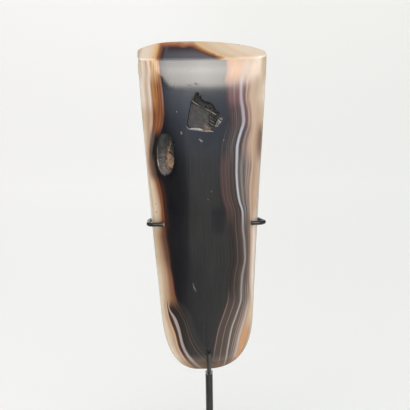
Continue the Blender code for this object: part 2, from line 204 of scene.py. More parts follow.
# Lines of the banding on the front face: (height above the butt, right of the rod's axis), in mm
MAIN_BAND = ((240, 36.5), (233, 33.8), (227, 31.3), (219.5, 28.9), (212, 26.6), (198, 26.2), (183, 27.5),
             (172, 23.9), (165, 22.3), (145, 22.0), (135.7, 22.4), (127, 23.7), (119.8, 26.2), (105.4, 26.1),
             (98, 27.1), (83.4, 27.5), (72.4, 25.1), (61.3, 24.3), (53.8, 24.0), (50.1, 22.8), (42.7, 20.3),
             (35.3, 17.6), (27.8, 15.7), (20.3, 14.3), (7.4, 12.1), (0, 10.0))
TAN_EDGE = ((240, 43), (227, 38.6), (201, 32.3), (187.6, 33.5), (178, 33.6), (169.6, 31.8), (151.6, 31.9),
            (137, 29.8), (123, 30.3), (98, 30.8), (82, 30.1), (69, 29.5), (54.5, 30.2), (40, 26.7),
            (25.8, 22.3), (14.8, 20.0), (0, 15.0))
CORE_LEFT = ((240, -29.8), (229, -31.1), (220, -30.4), (209.4, -29.4), (198.8, -28.4), (189.7, -28.4),
             (181.2, -29.6), (175.6, -31.7), (158.7, -35.7), (142.2, -33.2), (133, -31.0), (113.5, -29.4),
             (100, -28.8), (91.6, -27.3), (80, -26.3), (70.9, -24.6), (60.5, -23.4), (53.8, -21.6),
             (43.3, -15.4), (32, -11.9), (22.1, -7.9), (15.2, -1.4), (8, 4.0), (0, 9.0))
INNER_LEFT = ((55, -24.2), (51.6, -25.2), (46.3, -20.7), (37.3, -16.7), (26, -13.8), (16.9, -9.8),
              (9.9, -3.9), (0, 4.0))
WHITE_LEFT = ((55, -27.0), (51, -28.9), (47.2, -28.2), (41.9, -23.8), (34.4, -21.2), (22.3, -18.8),
              (14.7, -15.9), (8.5, -11.2), (3.8, -7.0), (0, -3.0))
CREAM_LEFT = ((240, -40.5), (229.1, -39.2), (220, -38), (209.5, -37.5), (199, -36.7), (184.9, -36.8),
              (177.8, -37.7), (163.7, -40.1), (153, -39.7), (142.3, -37.2), (123, -33.4), (101.6, -33.8),
              (80, -30.4), (62, -29.4), (51, -29.8), (40.5, -28.1), (29.9, -24), (19.3, -21.8), (10.1, -17.2),
              (3.9, -12.4), (0, -8.0))
LINE_SOFTENING = (-2.5, -1.2, 1.2, 2.5)

# The blade's outlines by height, kept once they are worked out
OUTLINES = {}


def smooth(low, high, value):
    """0 below low, 1 above high and a soft step between."""
    t = np.clip((value - low) / (high - low), 0.0, 1.0)
    return t * t * (3 - 2 * t)


STATION_VALUES = ("height", "crest", "left", "right", "front", "back", "left_front", "left_back",
                  "right_front", "right_back", "back_roundness")


def station(share, crest, width, thickness, lean, left_side, right_side, back_roundness):
    """One level of the blade. The lines of its sides are shares of the thickness, back from the middle."""
    return (share * BLADE_LENGTH, crest, -width / 2 - lean, width / 2 - lean, -thickness / 2, thickness / 2,
            left_side[0] * thickness, left_side[1] * thickness, right_side[0] * thickness,
            right_side[1] * thickness, back_roundness)


STATIONS = np.array((
    station(0.0, BUTT_CREST_X, 0.0608, 0.0215, 0, (-0.18, 0.14), (-0.18, 0.10), 2.0),
    station(0.468, BUTT_CREST_X, 0.0762, 0.0250, LEAN, (-0.16, 0.10), (-0.22, -0.06), 2.0),
    station(0.9, EDGE_CREST_X, 0.0900, 0.0176, LEAN, (-0.34, 0.02), (-0.24, -0.17), 1.6),
    station(1.0, EDGE_CREST_X, 0.0916, 0.0145, LEAN, (-0.42, -0.05), (-0.30, -0.28), 1.25),
))


def level(height):
    """The stations' values at one height or an array of them, on smooth curves through the named ones."""
    height = np.asarray(height, float)
    heights = STATIONS[:, 0]
    last = len(STATIONS) - 1
    lower = np.clip(np.searchsorted(heights, height, side="right") - 1, 0, last - 1)
    before, after = np.maximum(lower - 1, 0), np.minimum(lower + 2, last)
    span = heights[lower + 1] - heights[lower]
    t = (height - heights[lower]) / span
    a, b, c, d = (STATIONS[index] for index in (before, lower, lower + 1, after))
    t, span = t[..., None], span[..., None]
    slope_b = (c - a) / (heights[lower + 1] - heights[before])[..., None] * span
    slope_c = (d - b) / (heights[after] - heights[lower])[..., None] * span
    curve = ((2 * t**3 - 3 * t**2 + 1) * b + (t**3 - 2 * t**2 + t) * slope_b
             + (3 * t**2 - 2 * t**3) * c + (t**3 - t**2) * slope_c)
    beyond = c + (c - b) * (t - 1)
    values = np.where(t > 1, beyond, curve)
    return dict(zip(STATION_VALUES, np.moveaxis(values, -1, 0)))


def rounding(height, full_height, side_fullness, tip_fullness):
    """0 at the butt's lowest point, growing to 1 where its rounding ends."""
    share = np.clip(np.asarray(height, float) / full_height, 0.0, 1.0)
    return (1 - (1 - share) ** side_fullness) ** (1 / tip_fullness)


def depth_rounding(height):
    return rounding(height, BUTT_ROUND_DEPTH, BUTT_DEPTH_FULLNESS, BUTT_DEPTH_FULLNESS)


def half_widths(here, height):
    """Signed distances from the crest to the blade's left and right sides."""
    left = (here["left"] - here["crest"]) * rounding(height, BUTT_ROUND_HEIGHT, BUTT_SIDE_FULLNESS,
                                                      BUTT_LEFT_TIP_FULLNESS)
    right = (here["right"] - here["crest"]) * rounding(height, BUTT_ROUND_HEIGHT, BUTT_SIDE_FULLNESS,
                                                        BUTT_RIGHT_TIP_FULLNESS)
    return left, right


def face_y(x, height, front):
    """Y of the blade's front or back face."""
    here = level(height)
    left, right = half_widths(here, height)
    left_side = x < here["crest"]
    reach = np.clip((x - here["crest"]) / (np.where(left_side, left, right) + 1e-9), 0.0, 1.0)
    if front:
        side = np.where(left_side, here["left_front"], here["right_front"])
        crown = (1 - reach**FRONT_FLATNESS) ** (1 / FRONT_FLATNESS)
        return (side + (here["front"] - side) * crown) * depth_rounding(height)
    side = np.where(left_side, here["left_back"], here["right_back"])
    crown = (1 - reach**BACK_FLATNESS) ** (1 / here["back_roundness"])
    return (side + (here["back"] - side) * crown) * depth_rounding(height)


def surface_y(x, height):
    """Y of the front face, or of the facet where the bevel has cut the front face away."""
    bevel = face_y(EDGE_CREST_X, BEVEL_START, True) + (height - BEVEL_START) / math.tan(BEVEL_RISE)
    return float(max(face_y(x, height, True), bevel))


def outline(height):
    """The blade's outline at one height: points from the right side, round the front or back, to the left."""
    here = level(height)
    left, right = half_widths(here, height)
    swing = np.linspace(0, np.pi, OUTLINE_SAMPLES)
    cosine, sine = np.cos(swing), np.sin(swing)
    side_x = np.where(cosine < 0, left, right)
    halves = []
    for face, flatness, roundness in (("front", FRONT_FLATNESS, FRONT_FLATNESS),
                                      ("back", BACK_FLATNESS, here["back_roundness"])):
        side = np.where(cosine < 0, here["left_" + face], here["right_" + face])
        middle = np.where(cosine < 0, here["left_front"] + here["left_back"],
                          here["right_front"] + here["right_back"]) / 2
        x = here["crest"] + side_x * np.abs(cosine) ** (2 / flatness)
        y = side + (here[face] - side) * sine ** (2 / roundness)
        y[0], y[-1] = middle[0], middle[-1]
        y = y * depth_rounding(height)
        run = np.concatenate([[0], np.cumsum(np.hypot(np.diff(x), np.diff(y)))])
        halves.append((run / max(run[-1], 1e-9), x, y))
    return halves


def ring_height(ring, rim_height):
    """Height of a body ring: close rings round the butt, even ones above, and close ones again at the rim."""
    share = ring / BODY_RINGS
    if share < CLOSE_RING_SHARE:
        return CLOSE_RINGS_HEIGHT * (share / CLOSE_RING_SHARE) ** 2
    if share < EVEN_RING_SHARE:
        even = (share - CLOSE_RING_SHARE) / (EVEN_RING_SHARE - CLOSE_RING_SHARE)
        return CLOSE_RINGS_HEIGHT + (EVEN_RINGS_END - CLOSE_RINGS_HEIGHT) * even
    last = (share - EVEN_RING_SHARE) / (1 - EVEN_RING_SHARE)
    eased = RIM_CLOSENESS * last + (1 - RIM_CLOSENESS) * (1 - (1 - last) ** 2)
    return EVEN_RINGS_END + (rim_height - EVEN_RINGS_END) * eased


def on_line(line, height_mm):
    """Where a named line of the banding runs at these heights, in mm."""
    heights, places = np.array(line[::-1], float).T
    rough = np.interp(height_mm, heights, places)
    softened = [np.interp(height_mm + step, heights, places) for step in LINE_SOFTENING]
    return (rough + sum(softened)) / (1 + len(LINE_SOFTENING))


# Materials

def linear(red, green, blue):
    """A linear colour from screen values of 0 to 255."""
    values = [value / 255 for value in (red, green, blue)]
    return tuple(v / 12.92 if v <= 0.04045 else ((v + 0.055) / 1.055) ** 2.4 for v in values)


class Value:
    """The output of a node. Arithmetic on it adds Math nodes to its finish."""

    def __init__(self, finish, socket):
        self.finish = finish
        self.socket = socket

    def math(self, operation, *values):
        inputs = dict(enumerate(values))
        return self.finish.node("ShaderNodeMath", {"operation": operation}, inputs)

    def __add__(self, other):
        return self.math("ADD", self, other)

    def __radd__(self, other):
        return self.math("ADD", other, self)

    def __sub__(self, other):
        return self.math("SUBTRACT", self, other)

    def __rsub__(self, other):
        return self.math("SUBTRACT", other, self)

    def __mul__(self, other):
        return self.math("MULTIPLY", self, other)

    def __rmul__(self, other):
        return self.math("MULTIPLY", other, self)

    def __truediv__(self, other):
        return self.math("DIVIDE", self, other)

    def absolute(self):
        return self.math("ABSOLUTE", self, 0.0)

    def step(self, low, high):
        """0 below low and 1 above high, with a soft step between."""
        inputs = {"Value": self, "From Min": low, "From Max": high}
        return self.finish.node("ShaderNodeMapRange", {"interpolation_type": "SMOOTHSTEP"}, inputs)

    def between(self, rise, fall):
        """1 between two soft steps and 0 beyond them."""
        return self.step(*rise) * self.step(*fall)


class Finish:
    """A material under construction: a Principled shader and the one method that adds any other node."""

    def __init__(self, name, **constants):
        self.material = bpy.data.materials.new(name)
        self.material.use_nodes = True
        self.tree = self.material.node_tree
        self.shader = self.tree.nodes["Principled BSDF"]
        for socket, value in constants.items():
            self.shader.inputs[socket.replace("_", " ").title().replace("Ior", "IOR")].default_value = value

    def node(self, kind, settings=None, inputs=None, output=0):
        made = self.tree.nodes.new(kind)
        for key, value in (settings or {}).items():
            if key == "stops":
                self.set_stops(made.color_ramp, value)
            else:
                setattr(made, key, value)
        for key, value in (inputs or {}).items():
            self.plug(made.inputs[key], value)
        return Value(self, made.outputs[output])

    def plug(self, socket, value):
        if isinstance(value, Value):
            self.tree.links.new(value.socket, socket)
        elif hasattr(socket.default_value, "__len__") and len(socket.default_value) == 4:
            socket.default_value = (*value, 1.0)
        else:
            socket.default_value = value

    def set_stops(self, ramp, stops):
        while len(ramp.elements) > 1:
            ramp.elements.remove(ramp.elements[-1])
        for index, (place, colour) in enumerate(stops):
            element = ramp.elements[0] if index == 0 else ramp.elements.new(place)
            element.position = place
            element.color = (*colour, 1.0) if hasattr(colour, "__len__") else (colour, colour, colour, 1.0)

    def bands(self, value, stops):
        """Colours along a value: stops are (value, colour), in rising order."""
        low, high = stops[0][0], stops[-1][0]
        placed = [((place - low) / (high - low), colour) for place, colour in stops]
        return self.node("ShaderNodeValToRGB", {"stops": placed}, {"Fac": (value - low) / (high - low)})

    def mix(self, factor, first, second, blend="MIX"):
        inputs = {0: factor, 6: first, 7: second}
        return self.node("ShaderNodeMix", {"data_type": "RGBA", "blend_type": blend}, inputs, output=2)

    def tinted(self, share, colour, tint):
        """The colour, darkened or lightened by a tint where the share is 1."""
        return self.mix(share, colour, self.mix(1.0, colour, tint, "MULTIPLY"))

    def attribute(self, name):
        return self.node("ShaderNodeAttribute", {"attribute_name": name}, output=2)

    def place(self):
        return self.node("ShaderNodeTexCoord", output=3)

    def axis(self, vector, index):
        return self.node("ShaderNodeSeparateXYZ", {}, {0: vector}, output=index)

    def grain(self, vector, scale, detail=2.0, roughness=0.5):
        inputs = {"Vector": vector, "Scale": scale, "Detail": detail, "Roughness": roughness}
        return self.node("ShaderNodeTexNoise", {}, inputs)

    def streaked(self, vector, scales, detail):
        """Grain that repeats this often across, back and up."""
        drawn = self.node("ShaderNodeVectorMath", {"operation": "MULTIPLY"}, {0: vector, 1: scales})
        return self.grain(drawn, 1.0, detail=detail)

    def bump(self, height, strength, distance):
        inputs = {"Height": height, "Strength": strength, "Distance": distance}
        return self.node("ShaderNodeBump", {}, inputs)

    def finish(self, **sockets):
        for name, value in sockets.items():
            self.plug(self.shader.inputs[name.replace("_", " ").title()], value)
        return self.material


# Light that the polish adds over dark stone, taken off its colours, and the darkest that leaves
GLOSS = 0.020
DARKEST = 0.004


def seen(red, green, blue):
    """The stone's own colour where it is seen like this through the polish."""
    return tuple(max(value - GLOSS, DARKEST) for value in linear(red, green, blue))


# Colours of the stone, by what a lapidary would call them
CORE = linear(22, 22, 26)
CORE_GREY = linear(41, 40, 39)
BLUE_CORE = linear(38, 42, 52)
# The core on the bevel, lighter than on the front: painted light on the upward face
LIT_FACET_CORE = linear(80, 82, 90)
LIT_FACET_CORE_RIGHT = linear(104, 100, 104)
FACET_EDGE_CORE = linear(48, 36, 38)
BLACK_BROWN = linear(34, 28, 27)
DEEP_RED = linear(60, 38, 32)
DARK_UMBER = seen(66, 58, 55)
RED_UMBER = seen(76, 62, 61)
MAROON_GREY = seen(94, 76, 73)
UMBER = seen(84, 74, 69)
GREY_UMBER = seen(98, 89, 83)
DARK_MAROON = seen(78, 56, 54)
MAROON = seen(118, 84, 80)
ROSE_BROWN = seen(146, 118, 112)
CHESTNUT = linear(122, 75, 50)
RUST = linear(156, 98, 60)
AMBER = linear(184, 130, 82)
HONEY = linear(214, 168, 124)
BROWN = seen(128, 108, 98)
TAN = seen(178, 150, 128)
SAND = seen(200, 174, 149)
CREAM = seen(215, 196, 171)
PALE = seen(236, 222, 206)
PINK_GREY = seen(196, 182, 170)
OLIVE_BLACK = linear(46, 40, 35)
PINK_MILK = linear(168, 156, 152)
MILK = seen(178, 166, 170)
BLUE_MILK = seen(188, 189, 197)
DIM_MILK = seen(132, 128, 126)
LOWER_MILK = seen(156, 152, 153)
GREY_LINE = seen(98, 88, 84)
PALE_LINE = seen(152, 138, 132)
ORANGE_BLOTCH = seen(206, 158, 116)
PEACH = seen(237, 206, 166)
DIM_PEACH = seen(226, 196, 156)
LIGHT_PEACH = seen(244, 226, 200)
# Lit copies of honey, peach and cream for the bevel: painted light
LIT_HONEY = linear(240, 194, 138)
LIT_PEACH = linear(248, 216, 178)
LIT_CREAM = linear(250, 232, 208)
LOW_MILK = linear(170, 158, 151)
LOW_LINE = linear(134, 116, 104)
BURNT_ORANGE = linear(150, 94, 58)
ORANGE = linear(200, 144, 84)
PEAT = linear(64, 56, 49)
BARK = linear(80, 68, 60)
WALNUT = linear(92, 74, 65)
COCOA = linear(108, 80, 67)
FAWN = linear(118, 92, 80)
CLAY = linear(138, 106, 86)
BISCUIT = linear(158, 128, 104)
GINGER = linear(146, 104, 76)
PALE_GINGER = linear(168, 130, 100)
MAHOGANY = linear(90, 64, 53)
RUSSET = linear(100, 70, 55)
NUTMEG = linear(122, 90, 71)
DULL_CARAMEL = linear(146, 113, 90)
OCHRE = linear(160, 130, 105)
WHEAT = linear(182, 155, 126)
STRAW = linear(194, 171, 144)
COPPER_BROWN = linear(112, 78, 60)
COPPER = linear(128, 88, 64)
CINNAMON = linear(142, 100, 72)
DULL_HONEY = linear(162, 122, 90)
BURNT_SIENNA = linear(120, 74, 56)
TERRACOTTA = linear(170, 104, 70)
APRICOT = linear(190, 138, 100)

# Ramps across the bands, as (band number, colour), right and left of the core. They are in the order from the
# bevel down, each for a stretch of the blade's height, and the last is for the side face beyond them
# The bevel's two ramps use the lit copies: painted light
RIGHT_FACET = ((-30, LIT_FACET_CORE), (-25.2, LIT_FACET_CORE), (-24.2, DARK_MAROON), (-22.2, CHESTNUT),
               (-20.4, BURNT_ORANGE), (-18.2, ORANGE), (-15.6, PEACH), (-11, PEACH), (-4, LIGHT_PEACH),
               (1, LIT_PEACH), (5, LIT_CREAM), (12, LIT_CREAM))
RIGHT_ARRIS = ((-20, CORE), (-15.5, CORE), (-13.8, DARK_MAROON), (-12, BURNT_ORANGE), (-9, AMBER),
               (-5.8, AMBER), (-3.2, AMBER), (-1.6, TAN), (0.5, TAN), (2, TAN), (4, SAND), (6.2, SAND),
               (7.6, SAND), (9.4, CREAM), (11.2, SAND), (12, CREAM))
RIGHT_HIGH = ((-20, CORE), (-12.8, CORE), (-10.4, DARK_MAROON), (-8.8, MAROON), (-6.3, MAROON),
              (-5.5, ROSE_BROWN), (-4.8, MAROON), (-2.6, MAROON), (-1.9, ROSE_BROWN), (-1.2, MILK),
              (-0.3, MILK), (0.3, ROSE_BROWN), (1.0, MAROON), (1.8, MAROON), (2.6, SAND), (3.3, ROSE_BROWN),
              (4.3, TAN), (5.6, SAND), (8, SAND), (10, CREAM), (12, PALE))
RIGHT_SHOULDER = ((-20, CORE), (-12.2, CORE), (-10, BLACK_BROWN), (-8.6, DARK_MAROON), (-5.7, DARK_MAROON),
                  (-5.1, GREY_LINE), (-4.4, DARK_MAROON), (-2.0, UMBER), (-1.5, GREY_LINE), (-0.8, MILK),
                  (0.5, MILK), (1.1, GREY_LINE), (2.4, MAROON), (3.2, TAN), (3.9, TAN), (4.6, ROSE_BROWN),
                  (5.8, SAND), (8, SAND), (9.5, SAND), (12, CREAM))
RIGHT_EYE = ((-20, CORE), (-13, CORE), (-11.2, BLACK_BROWN), (-10.8, UMBER), (-10.3, BLACK_BROWN),
             (-7, DARK_UMBER), (-4.9, DARK_UMBER), (-4.4, GREY_LINE), (-3.8, UMBER), (-2.0, DARK_UMBER),
             (-1.3, UMBER), (-0.75, BLUE_MILK), (0.2, BLUE_MILK), (0.75, GREY_LINE), (1.5, DARK_MAROON),
             (2.2, GREY_LINE), (3.0, PALE_LINE), (3.5, BROWN), (4.2, BROWN), (5, TAN), (7, SAND), (8.6, TAN),
             (10.6, BROWN), (12, TAN))
RIGHT_MIDDLE = ((-20, CORE), (-13.4, CORE), (-11.6, RED_UMBER), (-10.6, MAROON_GREY), (-9.9, RED_UMBER),
                (-8.0, MAROON_GREY), (-6.4, RED_UMBER), (-5.8, GREY_UMBER), (-5.2, DARK_UMBER), (-3.0, UMBER),
                (-2.1, DARK_UMBER), (-1.3, UMBER), (-0.75, BLUE_MILK), (0.0, BLUE_MILK), (0.55, GREY_UMBER),
                (1.4, GREY_UMBER), (2.0, DIM_MILK), (2.5, DIM_MILK), (3.1, GREY_LINE), (3.8, GREY_LINE),
                (4.4, PALE_LINE), (4.9, BROWN), (5.6, PALE_LINE), (6.1, BROWN), (6.8, SAND), (8, TAN),
                (9.6, SAND), (12, PINK_GREY))
RIGHT_LOWER = ((-20, CORE_GREY), (-12, CORE_GREY), (-10.3, BLACK_BROWN), (-9.7, DARK_UMBER),
               (-9.1, BLACK_BROWN), (-6.1, DARK_UMBER), (-5.5, GREY_UMBER), (-4.9, DARK_UMBER),
               (-2.0, UMBER), (-1.3, GREY_UMBER), (-0.7, PALE_LINE), (-0.1, LOWER_MILK), (0.4, DIM_MILK),
               (1.0, GREY_UMBER), (3.2, GREY_UMBER), (4.4, BROWN), (5.7, BROWN), (6.6, TAN),
               (7.6, PINK_GREY), (9.4, PALE), (12, PINK_GREY))
LOW_LINES = ((-20, CORE_GREY), (-12, CORE_GREY), (-10.0, DARK_UMBER), (-9.3, LOW_LINE), (-8.8, UMBER),
             (-5.3, UMBER), (-4.7, LOW_LINE), (-4.2, UMBER), (-0.8, GREY_UMBER), (-0.4, LOW_MILK),
             (0.2, LOW_MILK), (0.6, GREY_UMBER), (1.6, GREY_UMBER), (3.6, BROWN), (5.0, PALE_LINE),
             (5.8, PINK_GREY))
RIGHT_LOW = (*LOW_LINES, (6.6, TAN), (7.6, SAND), (9.8, CREAM), (12, CREAM))
RIGHT_BUTT = (*LOW_LINES, (6.4, TAN), (7.4, ORANGE_BLOTCH), (9.2, ORANGE_BLOTCH), (10.4, TAN),
              (12, CREAM))
RIGHT_SIDE = ((12, CREAM), (13.5, SAND), (14.2, TAN), (14.8, SAND), (16.5, PALE), (18, SAND), (18.6, BROWN),
              (19.2, TAN), (21, CREAM), (23, SAND), (23.6, ROSE_BROWN), (24.2, SAND), (26, PALE), (30, CREAM))
LEFT_FACET = ((-1.4, LIT_FACET_CORE), (-0.7, LIT_FACET_CORE), (-0.2, DARK_MAROON), (0.3, CHESTNUT),
              (0.7, BURNT_ORANGE), (1.1, ORANGE), (1.6, LIT_HONEY), (2.4, LIT_PEACH), (3.6, LIT_CREAM),
              (4.4, LIT_CREAM), (5, CREAM))
LEFT_ARRIS = ((-1.4, CORE), (0, CORE), (0.3, DARK_MAROON), (0.6, AMBER), (1.2, HONEY), (2.0, DIM_PEACH),
              (2.8, HONEY), (3.2, PALE), (3.6, SAND), (4.2, PALE), (4.6, CREAM), (5, CREAM))
LEFT_HIGH = ((-1.4, CORE), (-0.1, CORE), (0.2, BLACK_BROWN), (0.4, ROSE_BROWN), (0.6, RUST),
             (0.9, CHESTNUT), (1.2, RUST), (1.5, CHESTNUT), (1.8, AMBER), (2.1, RUST), (2.5, AMBER),
             (2.8, AMBER), (2.96, RUST), (3.12, TAN), (3.35, PALE), (3.9, SAND), (4.4, PALE), (5, PALE))
LEFT_SHOULDER = ((-1.4, CORE), (-0.6, CORE), (0.05, BLACK_BROWN), (0.3, MAROON), (0.6, CHESTNUT),
                 (0.85, CHESTNUT), (1.2, RUST), (1.6, CHESTNUT), (1.95, RUST), (2.4, CHESTNUT),
                 (2.95, CHESTNUT), (3.1, TAN), (3.4, SAND), (3.8, TAN), (4.3, SAND), (5, CREAM))
LEFT_EYE = ((-1.4, CORE), (-0.4, CORE), (0.2, BLACK_BROWN), (0.9, BLACK_BROWN), (1.6, BLACK_BROWN),
            (2.1, GREY_UMBER), (2.6, GREY_UMBER), (3.0, BROWN), (3.5, TAN), (4.2, SAND), (5, PALE))
LEFT_UNDER_EYE = ((-1.4, CORE), (-0.4, CORE), (0.1, BLACK_BROWN), (0.5, BLACK_BROWN), (0.9, PEAT),
                  (1.25, BARK), (1.6, WALNUT), (2.1, COCOA), (2.8, FAWN), (3.2, CLAY), (3.6, BISCUIT),
                  (4.3, SAND), (5, PALE))
LEFT_MIDDLE = ((-1.4, CORE), (-0.8, BLACK_BROWN), (-0.2, DEEP_RED), (0.2, DEEP_RED), (0.7, CHESTNUT),
               (1.6, CHESTNUT), (2.0, GINGER), (2.4, PALE_GINGER), (2.8, TAN), (3.4, SAND), (4.0, CREAM),
               (4.4, SAND), (5, PALE))
LEFT_RISING = ((-1.4, CORE), (-0.8, CORE), (-0.3, BLACK_BROWN), (0.1, DEEP_RED), (0.5, MAHOGANY),
               (1.6, RUSSET), (2.1, NUTMEG), (2.8, DULL_CARAMEL), (3.3, OCHRE), (3.8, WHEAT), (4.3, STRAW),
               (4.8, SAND), (5, CREAM))
LEFT_LOWER = ((-1.4, CORE), (-0.4, CORE), (-0.1, BLACK_BROWN), (0.2, DEEP_RED), (0.45, COPPER_BROWN),
              (1.2, COPPER), (1.7, CINNAMON), (2.2, DULL_HONEY), (2.7, TAN), (3.2, TAN), (3.8, SAND),
              (4.2, CREAM), (4.6, CREAM), (5, PALE))
LEFT_LOW = ((-1.4, CORE_GREY), (-0.1, CORE_GREY), (0, DARK_UMBER), (0.1, OLIVE_BLACK), (0.45, OLIVE_BLACK),
            (0.5, GREY_UMBER), (0.55, OLIVE_BLACK), (0.92, OLIVE_BLACK), (1.0, GREY_LINE),
            (1.08, OLIVE_BLACK), (1.88, OLIVE_BLACK), (2.02, PINK_MILK), (2.36, PINK_MILK), (2.48, UMBER),
            (2.9, DARK_MAROON), (3.06, AMBER), (3.2, SAND), (3.45, TAN), (3.9, SAND), (4.3, CREAM),
            (5, CREAM))
LEFT_SIDE = ((5, PALE), (6.2, CREAM), (7.4, SAND), (8.0, TAN), (8.6, CREAM), (10, PALE), (11.5, SAND),
             (12, BROWN), (12.5, SAND), (14, CREAM))

# Heights in mm over which each ramp gives way to the one above it, from the butt up
RIGHT_RAMPS = ((RIGHT_BUTT, None), (RIGHT_LOW, (28, 44)), (RIGHT_LOWER, (46, 66)), (RIGHT_MIDDLE, (104, 124)),
               (RIGHT_EYE, (150, 166)), (RIGHT_SHOULDER, (174, 186)), (RIGHT_HIGH, (190, 202)),
               (RIGHT_ARRIS, (206, 218)))
LEFT_RAMPS = ((LEFT_LOW, None), (LEFT_LOWER, (47, 57)), (LEFT_RISING, (70, 88)), (LEFT_MIDDLE, (100, 114)),
              (LEFT_UNDER_EYE, (139, 147)), (LEFT_EYE, (154, 163)), (LEFT_SHOULDER, (172, 182)),
              (LEFT_HIGH, (188, 200)), (LEFT_ARRIS, (208, 221)))

# Tints, and the colours of the fringe, the fine lines, the painted shade round the pits, the pits' glints,
# which are partly painted highlight, and the marks
LEFT_LIFT = (1.09, 1.13, 1.15)
STREAK_TINT = (0.62, 0.60, 0.60)
STROKE_TINT = (0.62, 0.52, 0.46)
BUTT_TAN = linear(176, 150, 128)
FRINGE = ((0.0, CORE), (0.16, DEEP_RED), (0.36, BURNT_SIENNA), (0.57, TERRACOTTA), (0.79, APRICOT),
          (1.0, SAND))
SHADED_CORE = linear(8, 8, 9)
GLINT = linear(222, 216, 208)
PALE_MARK = linear(150, 148, 146)
DARK_MARK_AND_SHADOW = linear(10, 9, 9)


def grainy(dark, middle, light, spread=0.2):
    """A ramp for a grain, whose values lie mostly within this spread of its middle."""
    places = (0.5 - spread, 0.5, 0.5 + spread)
    return [(place, linear(*shade)) for place, shade in zip(places, (dark, middle, light))]


PIT_DARK = grainy((8, 8, 7), (28, 27, 24), (84, 80, 70))
PIT_GREY = grainy((28, 28, 28), (45, 44, 44), (74, 72, 71))
PIT_WARM = grainy((40, 34, 31), (68, 60, 56), (98, 88, 82))
PIT_GREEN = grainy((22, 25, 23), (37, 40, 36), (62, 63, 57))
PIT_FILL = grainy((80, 60, 44), (134, 105, 80), (166, 138, 110), 0.18)

# The stone's grain: how often each pattern repeats in a metre, across, back and up, or in every direction
STREAKS = (900.0, 500.0, 26.0)
FIBRES = (2600.0, 1200.0, 70.0)
STROKES = (2200.0, 900.0, 36.0)
CLOUDS = (70.0, 70.0, 34.0)
SLOW_WAVER = 60.0
QUICK_WAVER = 320.0
FRINGE_WAVER = 130.0
BLOTCHES = 330.0
GRIT = 900.0
HAZE = 60.0
PITTING = 1400.0

# Shares of the waver that the quick one has, and that the bands on the left show
QUICK_WAVER_SHARE = 0.32
LEFT_WAVER_SHARE = 0.2

# Soft steps between two band numbers: where the side faces start, and the lighter bands on the left. The last
# one is between two heights, in mm
RIGHT_SIDE_START = (11.6, 12.4)
LEFT_SIDE_START = (4.8, 5.4)
LIFTED_BANDS = (2.6, 3.4)
LIFTED_BELOW = (198.0, 166.0)

# Soft steps in mm. The core is greyer right of and below the first two, save in a corner and in a patch of
# painted shade at the side wire's height
STREAK_REACH = 3.0
GREY_RIGHT_OF = (-15.0, -10.5)
GREY_BELOW = (176.0, 158.0)
CORNER_LEFT_OF = (8.0, -20.0)
CORNER_BELOW = (110.0, 70.0)
SHADE_PATCH_ACROSS = ((1.0, 6.0), (17.0, 12.0))
SHADE_PATCH_UP = ((99.0, 108.0), (126.0, 117.0))
GREY_SHARE = 0.8
CORE_CONTRAST = 1.3
BLUE_ABOVE = (150.0, 200.0)
BLUE_SHARE = 0.6
FACET_PALER_RIGHT_OF = (-32.0, -6.0)
FACET_EDGE_BELOW = (236.5, 229.5)

# Fine lines: soft steps in their grain, and how strongly they show. The comb's period and the heights over
# which the butt turns tan are in mm
FIBRE_STEP = (0.35, 0.75)
FIBRE_SHARE = 0.22
COMB_PERIOD = 1.45
COMB_WAVER = 0.3
COMB_STEP = (0.0, 0.95)
STROKE_STEP = (0.42, 0.62)
BUTT_TAN_BELOW = (14.0, 1.0)
BUTT_TAN_SHARE = 0.6

# The fringe of light along the bevel's upper edge, which is weaker on the left
FRINGE_RAGGEDNESS = 0.6
FRINGE_RAGGED_FROM = (0.0, 0.15)
FRINGE_STRONG_RIGHT_OF = (-30.0, -12.0)
FRINGE_LEFT_SHARE = 0.74
FRINGE_RIGHT_EXTRA = 0.46
FRINGE_START = (0.02, 0.2)

# Pits, the painted shade round them, and marks
EYE_WARM_BELOW = (166.0, 155.0)
EYE_LEFT_OF = (-18.0, -22.0)
BLOTCH_SHARE = 0.7
PIT_SHADE_SHARE = 0.75
MARK_RAGGEDNESS = 1.2
MARK_RIM = (1.3, 0.5)
HAZE_ROUGHNESS = 0.04
RAW_ROUGHNESS = 0.45
RAW_RELIEF = 0.98
POLISHED_RELIEF = 0.004
DENT_RELIEF = 1.5
RELIEF_DEPTH = 0.00006


